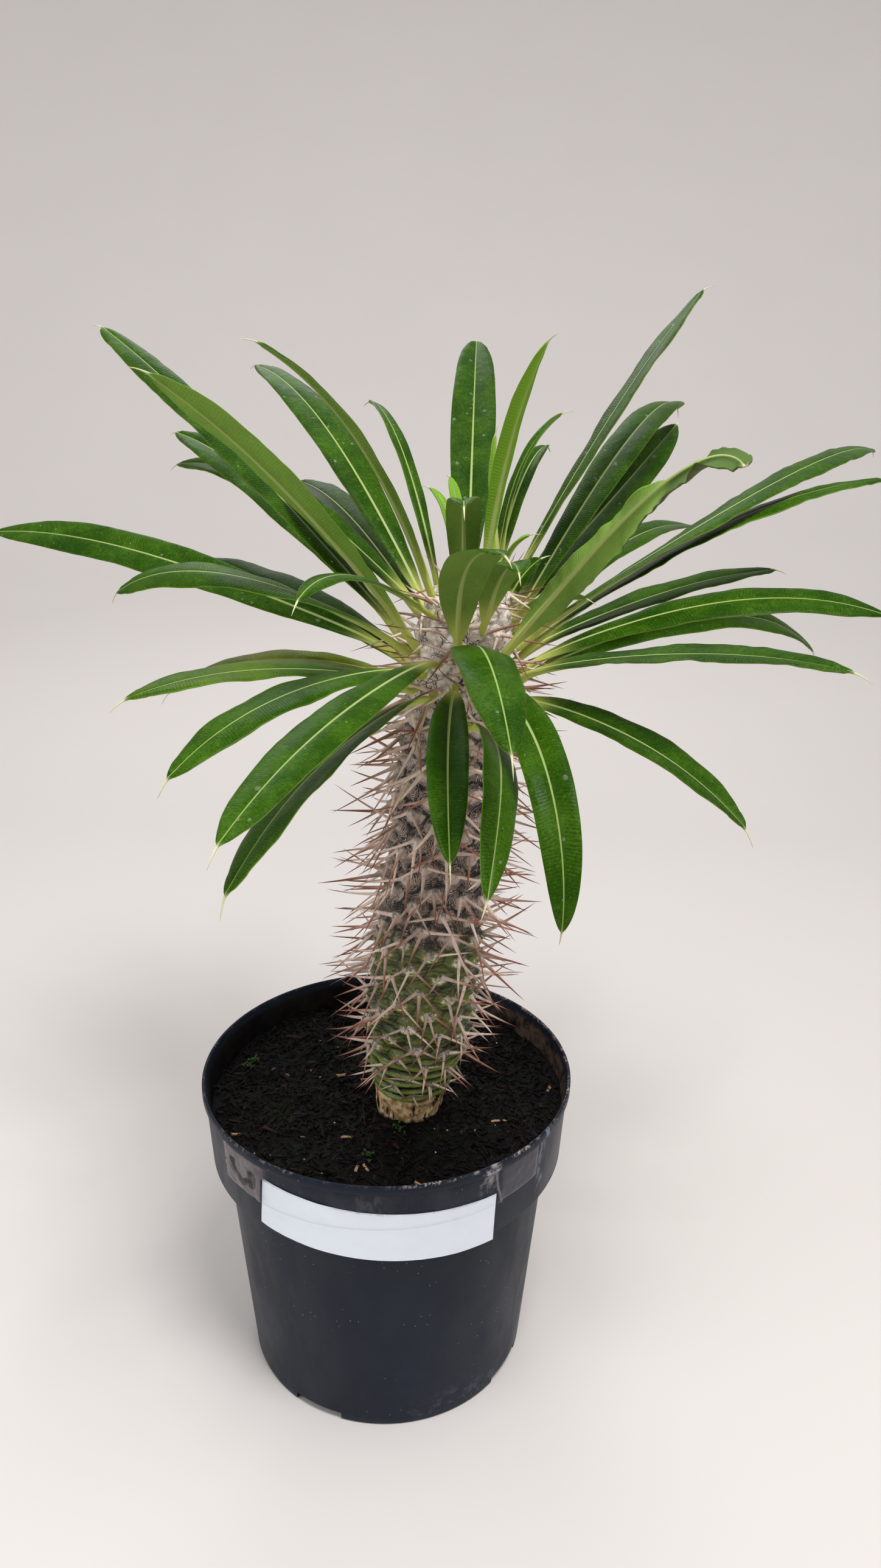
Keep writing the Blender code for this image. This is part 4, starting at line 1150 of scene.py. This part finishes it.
def pot_profile():
    """The pot's section from the middle of its floor, up the inside and down the outside."""
    foot_inside = FOOT_RADIUS - FOOT_RING_WIDTH
    inner = [(0, FLOOR_TOP), *inner_profile()]
    lip = [
        (COLLAR_TOP_RADIUS - WALL + 1.2, POT_HEIGHT - 3.5),
        (RIM_RADIUS - WALL + 0.1, POT_HEIGHT - 1.0),
    ]
    for k in range(5):
        angle = math.pi * (1 - k / 4)
        lip.append((RIM_RADIUS - 1.0 + math.cos(angle), POT_HEIGHT - 1.0 + math.sin(angle)))
    outer = [
        (RIM_RADIUS, POT_HEIGHT - LIP_DEPTH + 1.2),
        (RIM_RADIUS - 0.3, POT_HEIGHT - LIP_DEPTH + 0.3),
        (RIM_RADIUS - 1.0, POT_HEIGHT - LIP_DEPTH - 0.2),
        (COLLAR_TOP_RADIUS, POT_HEIGHT - LIP_DEPTH - 1.0),
        (COLLAR_FOOT_RADIUS, COLLAR_FOOT_HEIGHT),
        (COLLAR_FOOT_RADIUS - 0.3, COLLAR_FOOT_HEIGHT - 0.7),
        (COLLAR_FOOT_RADIUS - 1, COLLAR_FOOT_HEIGHT - 1),
        (BODY_TOP_RADIUS + 0.6, BODY_TOP_HEIGHT + 0.1),
        *[body_side(height) for height in (BODY_TOP_HEIGHT - 0.6, 120, 80, 45, 22, 10, 6.5, 1.2)],
        (FOOT_RADIUS - 0.2, 0.4),
        (FOOT_RADIUS - 0.8, 0),
        (foot_inside, 0),
        (foot_inside - 0.4, FLOOR_UNDERSIDE),
        (HUB_RADIUS + 1.5, FLOOR_UNDERSIDE),
        (HUB_RADIUS, 0),
        (0, 0),
    ]
    return inner + lip + outer


def cutter(name, make, place, turn):
    mesh = bpy.data.meshes.new(name)
    bm = bmesh.new()
    make(bm)
    bm.to_mesh(mesh)
    bm.free()
    obj = in_scene(name, mesh)
    obj.location = (place * MM * math.cos(turn), place * MM * math.sin(turn), 0.0)
    obj.rotation_euler = (0.0, 0.0, turn)
    return obj


def notch(bm):
    bmesh.ops.create_cube(bm, size=1.0)
    size = Vector((FOOT_RING_WIDTH * 2.4, NOTCH_WIDTH, NOTCH_HEIGHT * 2)) * MM
    bmesh.ops.scale(bm, vec=size, verts=bm.verts)


def drain(bm):
    radius = DRAIN_RADIUS * MM
    bmesh.ops.create_cone(
        bm, cap_ends=True, segments=24, radius1=radius, radius2=radius, depth=FLOOR_TOP * 4 * MM
    )


def make_pot():
    profile = pot_profile()
    mesh = bpy.data.meshes.new("nursery_pot")
    points = [(radius * MM, 0.0, height * MM) for radius, height in profile]
    mesh.from_pydata(points, [(k, k + 1) for k in range(len(points) - 1)], [])
    pot = in_scene("nursery_pot", mesh)
    screw = pot.modifiers.new("turned", "SCREW")
    screw.steps = POT_STEPS
    screw.render_steps = POT_STEPS
    screw.use_merge_vertices = True
    screw.merge_threshold = 0.00001
    cutters = [cutter(f"notch_{k}", notch, FOOT_RADIUS, math.radians(k)) for k in NOTCH_DIRECTIONS]
    for k in range(DRAIN_HOLES):
        turn = 2 * math.pi * (k + 0.5) / DRAIN_HOLES
        cutters.append(cutter(f"drain_{k}", drain, DRAIN_CIRCLE, turn))
    for tool in cutters:
        boolean = pot.modifiers.new(tool.name, "BOOLEAN")
        boolean.operation = "DIFFERENCE"
        boolean.object = tool
    graph = bpy.context.evaluated_depsgraph_get()
    mesh = bpy.data.meshes.new_from_object(pot.evaluated_get(graph))
    mesh.name = "nursery_pot"
    for obj in [pot, *cutters]:
        bpy.data.objects.remove(obj)
    layer = mesh.attributes.new("inside", "FLOAT", "POINT")
    for vertex, value in zip(mesh.vertices, layer.data):
        height = vertex.co.z / MM
        reach = math.hypot(vertex.co.x, vertex.co.y) / MM
        value.value = float(height > FLOOR_TOP - 0.5 and reach < wall_radius(height) + 0.9)
    mesh.shade_smooth()
    mesh.set_sharp_from_angle(angle=math.radians(32))
    piece("nursery_pot", mesh, pot_finish(), "pot_plastic", "pot")


def collar_radius(height):
    share = (height - COLLAR_FOOT_HEIGHT) / (POT_HEIGHT - LIP_DEPTH - COLLAR_FOOT_HEIGHT)
    return COLLAR_FOOT_RADIUS + (COLLAR_TOP_RADIUS - COLLAR_FOOT_RADIUS) * share


def label_top(degrees):
    share = (degrees - LABEL_FROM) / (LABEL_TO - LABEL_FROM) - 0.5
    return LABEL_MIDDLE_TOP + LABEL_TILT * share + 4 * LABEL_SAG * share * share


def sheet(name, degrees, radius, height, thickness, values):
    """A closed thin sheet round the collar, from grids of direction, radius and height."""
    turn = np.radians(degrees)
    points = [around(reach, turn, height) for reach in (radius, radius + thickness)]
    rows, columns = degrees.shape
    size = rows * columns
    back = [face[::-1] for face in grid_faces(rows, columns, 0, False)]
    faces = back + grid_faces(rows, columns, size, False)
    border = list(range(columns))
    border += [r * columns + columns - 1 for r in range(1, rows)]
    border += [(rows - 1) * columns + k for k in range(columns - 2, -1, -1)]
    border += [r * columns for r in range(rows - 2, 0, -1)]
    for a, b in zip(border, border[1:] + border[:1]):
        faces.append([a, b, b + size, a + size])
    doubled = {key: np.concatenate([value.ravel()] * 2) for key, value in values.items()}
    mesh = mesh_of(name, points, faces, doubled)
    mesh.set_sharp_from_angle(angle=math.radians(60))
    return mesh


def make_label():
    along, up = np.meshgrid(np.linspace(0, 1, 150), np.linspace(0, 1, 36), indexing="ij")
    degrees = LABEL_FROM + (LABEL_TO - LABEL_FROM) * along
    height = label_top(degrees) - LABEL_TALL * (1.0 - up)
    degrees = degrees + LABEL_SLANT * (1.0 - along) * (up - 0.5)
    place = np.stack([degrees * 2.0, 0 * height, height], -1)
    buckle = 0.12 * ripple(place, 26, 71) + 0.05 * ripple(place, 9, 72)
    lower = 0.25 * ramp(0.45 - up, 0.0, 0.45) * (0.5 + 0.5 * np.sin(along * 9.0))
    radius = collar_radius(height) + 0.35 + np.maximum(0, buckle + lower)
    mesh = sheet("label_strip", degrees, radius, height, 0.25, {})
    piece("label_strip", mesh, label_finish(), "label_paper", "label")


def tape_lift(degrees, height):
    beyond = np.maximum(np.maximum(LABEL_FROM - degrees, degrees - LABEL_TO), 0.0)
    ends = 1.0 - ramp(beyond, 0.8, 3.5)
    over = 1.0 - ramp(height - label_top(degrees), 0.5, 4.0)
    return TAPE_LIFT * ends * over


def make_tape():
    along, up = np.meshgrid(np.linspace(0, 1, 260), np.linspace(0, 1, 30), indexing="ij")
    jag = 0.9 * np.sin(up * 17.0) + 0.5 * np.sin(up * 41.0 + 1.0)
    start = TAPE_FROM + 1.2 + np.abs(jag) * 0.8
    degrees = start + (TAPE_TO - start) * along
    foot = TAPE_FOOT + TAPE_TILT * (along - 0.5)
    height = foot + (TAPE_TOP - foot) * up
    place = np.stack([degrees * 2.0, 0 * height, height], -1)
    crease = np.abs(ripple(place, 13, 81)) * 0.18 + 0.1 * ripple(place, 5, 82)
    across = (degrees - TAPE_BUBBLE[0]) / TAPE_BUBBLE_SIZE[0]
    down = (height - TAPE_BUBBLE[1]) / TAPE_BUBBLE_SIZE[1]
    ring = np.hypot(across, down) + 0.12 * ripple(place, 9, 83)
    blister = np.exp(-((ring - 0.78) / 0.27) ** 2) * ramp(0.6 - down, 0.0, 0.5)
    line = TAPE_FOLD + 2.4 * (0.5 - up)
    fold = np.exp(-((degrees - line) / 0.4) ** 2)
    radius = collar_radius(height) + 0.3 + tape_lift(degrees, height)
    radius = radius + np.maximum(0.0, crease) + 0.5 * blister + 1.2 * fold
    first = LABEL_FROM + LABEL_SLANT * (0.5 - (label_top(degrees) - height) / LABEL_TALL)
    over = ramp(degrees, first - 0.5, first) * (1 - ramp(degrees, LABEL_TO, LABEL_TO + 0.5))
    over = over * (1 - ramp(height, label_top(degrees) - 0.2, label_top(degrees) + 0.6))
    ends = np.maximum(1 - ramp(along, 0.0, 0.01), ramp(along, 0.99, 1.0))
    border = np.maximum(1 - ramp(up, 0.0, 0.05), ends)
    values = {"along": along, "blister": blister, "fold": fold, "over": over, "border": border}
    mesh = sheet("tape_strip", degrees, radius, height, 0.1, values)
    piece("tape_strip", mesh, tape_finish(), "clear_tape", "tape")


def make_drops(leaves):
    """Beads of water on the upper sides of some leaves."""
    draw = np.random.default_rng(91)
    rings = ((1.0, -0.15), (0.98, 0.2), (0.8, 0.55), (0.45, 0.8))
    sides = 10
    points = []
    faces = []
    for number, count in WET_LEAVES.items():
        upper = leaves[number][1]
        rows, columns = upper.shape[:2]
        for _ in range(count):
            r = draw.integers(12, rows - 8)
            c = draw.integers(2, columns - 3)
            here = upper[r, c]
            one = upper[r + 1, c] - here
            two = upper[r, c + 1] - here
            normal = np.cross(one, two)
            normal /= np.linalg.norm(normal)
            if normal @ np.cross(upper[r + 1, 8] - upper[r, 8], upper[r, 9] - upper[r, 8]) < 0:
                normal = -normal
            one /= np.linalg.norm(one)
            two = np.cross(normal, one)
            centre = here + (upper[r + 1, c] - here) * draw.random()
            size = 0.32 + min(1.1, draw.exponential(0.36))
            start = len(points)
            for radius, rise in rings:
                for k in range(sides):
                    turn = 2 * math.pi * k / sides
                    flat = one * math.cos(turn) * 1.1 + two * math.sin(turn)
                    points.append(centre + (flat * radius + normal * rise * 0.7) * size)
            faces += grid_faces(len(rings), sides, start) + caps(len(rings), sides, start)
    mesh = mesh_of("droplets", np.array(points), faces)
    piece("droplets", mesh, drop_finish(), "leaf_green")


def make_stage():
    """A round floor that sweeps up into a backdrop far out on all sides."""
    rings = 40
    sides = 96
    reach = np.linspace(0.01, FLOOR_REACH, rings)[:, None]
    turns = np.linspace(0, 2 * math.pi, sides, endpoint=False)
    rise = FLOOR_SWEEP * np.maximum(0.0, reach - FLOOR_FLAT) ** 2 - 0.0005
    points = around(reach, turns, rise) / MM
    faces = grid_faces(rings, sides) + [list(range(sides))]
    mesh = mesh_of("floor", points, faces, outward=False)
    floor = in_scene("floor", mesh)
    mesh.materials.append(floor_finish())


def add_light(name, place, aim, size, power, colour):
    light = bpy.data.lights.new(name, "AREA")
    light.shape = "DISK"
    light.size = size
    light.energy = power
    light.color = colour
    lamp = in_scene(name, light)
    lamp.location = place
    lamp.rotation_euler = (Vector(aim) - Vector(place)).to_track_quat("-Z", "Y").to_euler()


def make_light():
    bpy.context.scene.view_settings.view_transform = "Standard"
    world = bpy.data.worlds.new("studio")
    world.use_nodes = True
    backdrop = world.node_tree.nodes["Background"]
    backdrop.inputs["Color"].default_value = (1.0, 0.985, 0.97, 1.0)
    backdrop.inputs["Strength"].default_value = 0.55
    bpy.context.scene.world = world
    middle = (0.0, 0.0, 0.35)
    add_light("key", (0.35, -0.7, 2.0), middle, 0.6, 30, (1.0, 0.99, 0.98))
    add_light("fill", (-1.4, -0.9, 1.2), middle, 1.2, 7, (0.93, 0.97, 1.0))
    add_light("back", (-0.3, 1.4, 1.6), middle, 1.0, 6, (1.0, 1.0, 1.0))
    add_light("wall", (0.0, 1.2, 2.6), (0.0, 4.6, 2.2), 2.0, 44, (1.0, 0.99, 0.98))


def make_camera():
    camera = bpy.data.cameras.new("camera")
    camera.sensor_width = SENSOR
    camera.lens = CAMERA_FOCUS / PHOTO_LONG_SIDE * SENSOR
    tilt = math.radians(CAMERA_TILT)
    roll = math.radians(CAMERA_ROLL)
    ahead = Vector((0.0, math.cos(tilt), -math.sin(tilt)))
    level = Vector((1.0, 0.0, 0.0))
    above = Vector((0.0, math.sin(tilt), math.cos(tilt)))
    right = math.cos(roll) * level + math.sin(roll) * above
    up = math.cos(roll) * above - math.sin(roll) * level
    turned = Matrix((right, up, -ahead)).transposed().to_4x4()
    eye = in_scene("camera", camera)
    eye.matrix_world = Matrix.Translation(CAMERA_PLACE) @ turned
    bpy.context.scene.camera = eye


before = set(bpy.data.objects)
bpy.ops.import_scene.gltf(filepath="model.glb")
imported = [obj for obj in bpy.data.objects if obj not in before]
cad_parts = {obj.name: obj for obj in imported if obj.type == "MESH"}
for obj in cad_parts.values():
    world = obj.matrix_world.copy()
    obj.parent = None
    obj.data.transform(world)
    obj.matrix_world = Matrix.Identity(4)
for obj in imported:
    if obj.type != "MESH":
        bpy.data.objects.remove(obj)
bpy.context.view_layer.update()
make_camera()
make_stage()
make_light()
make_pot()
bed = make_soil()
make_sprouts()
stem = make_stem()
leaves = make_leaves()
make_spines(stem, [bed] + [blade for blade, _ in leaves.values()])
make_label()
make_tape()
make_drops(leaves)
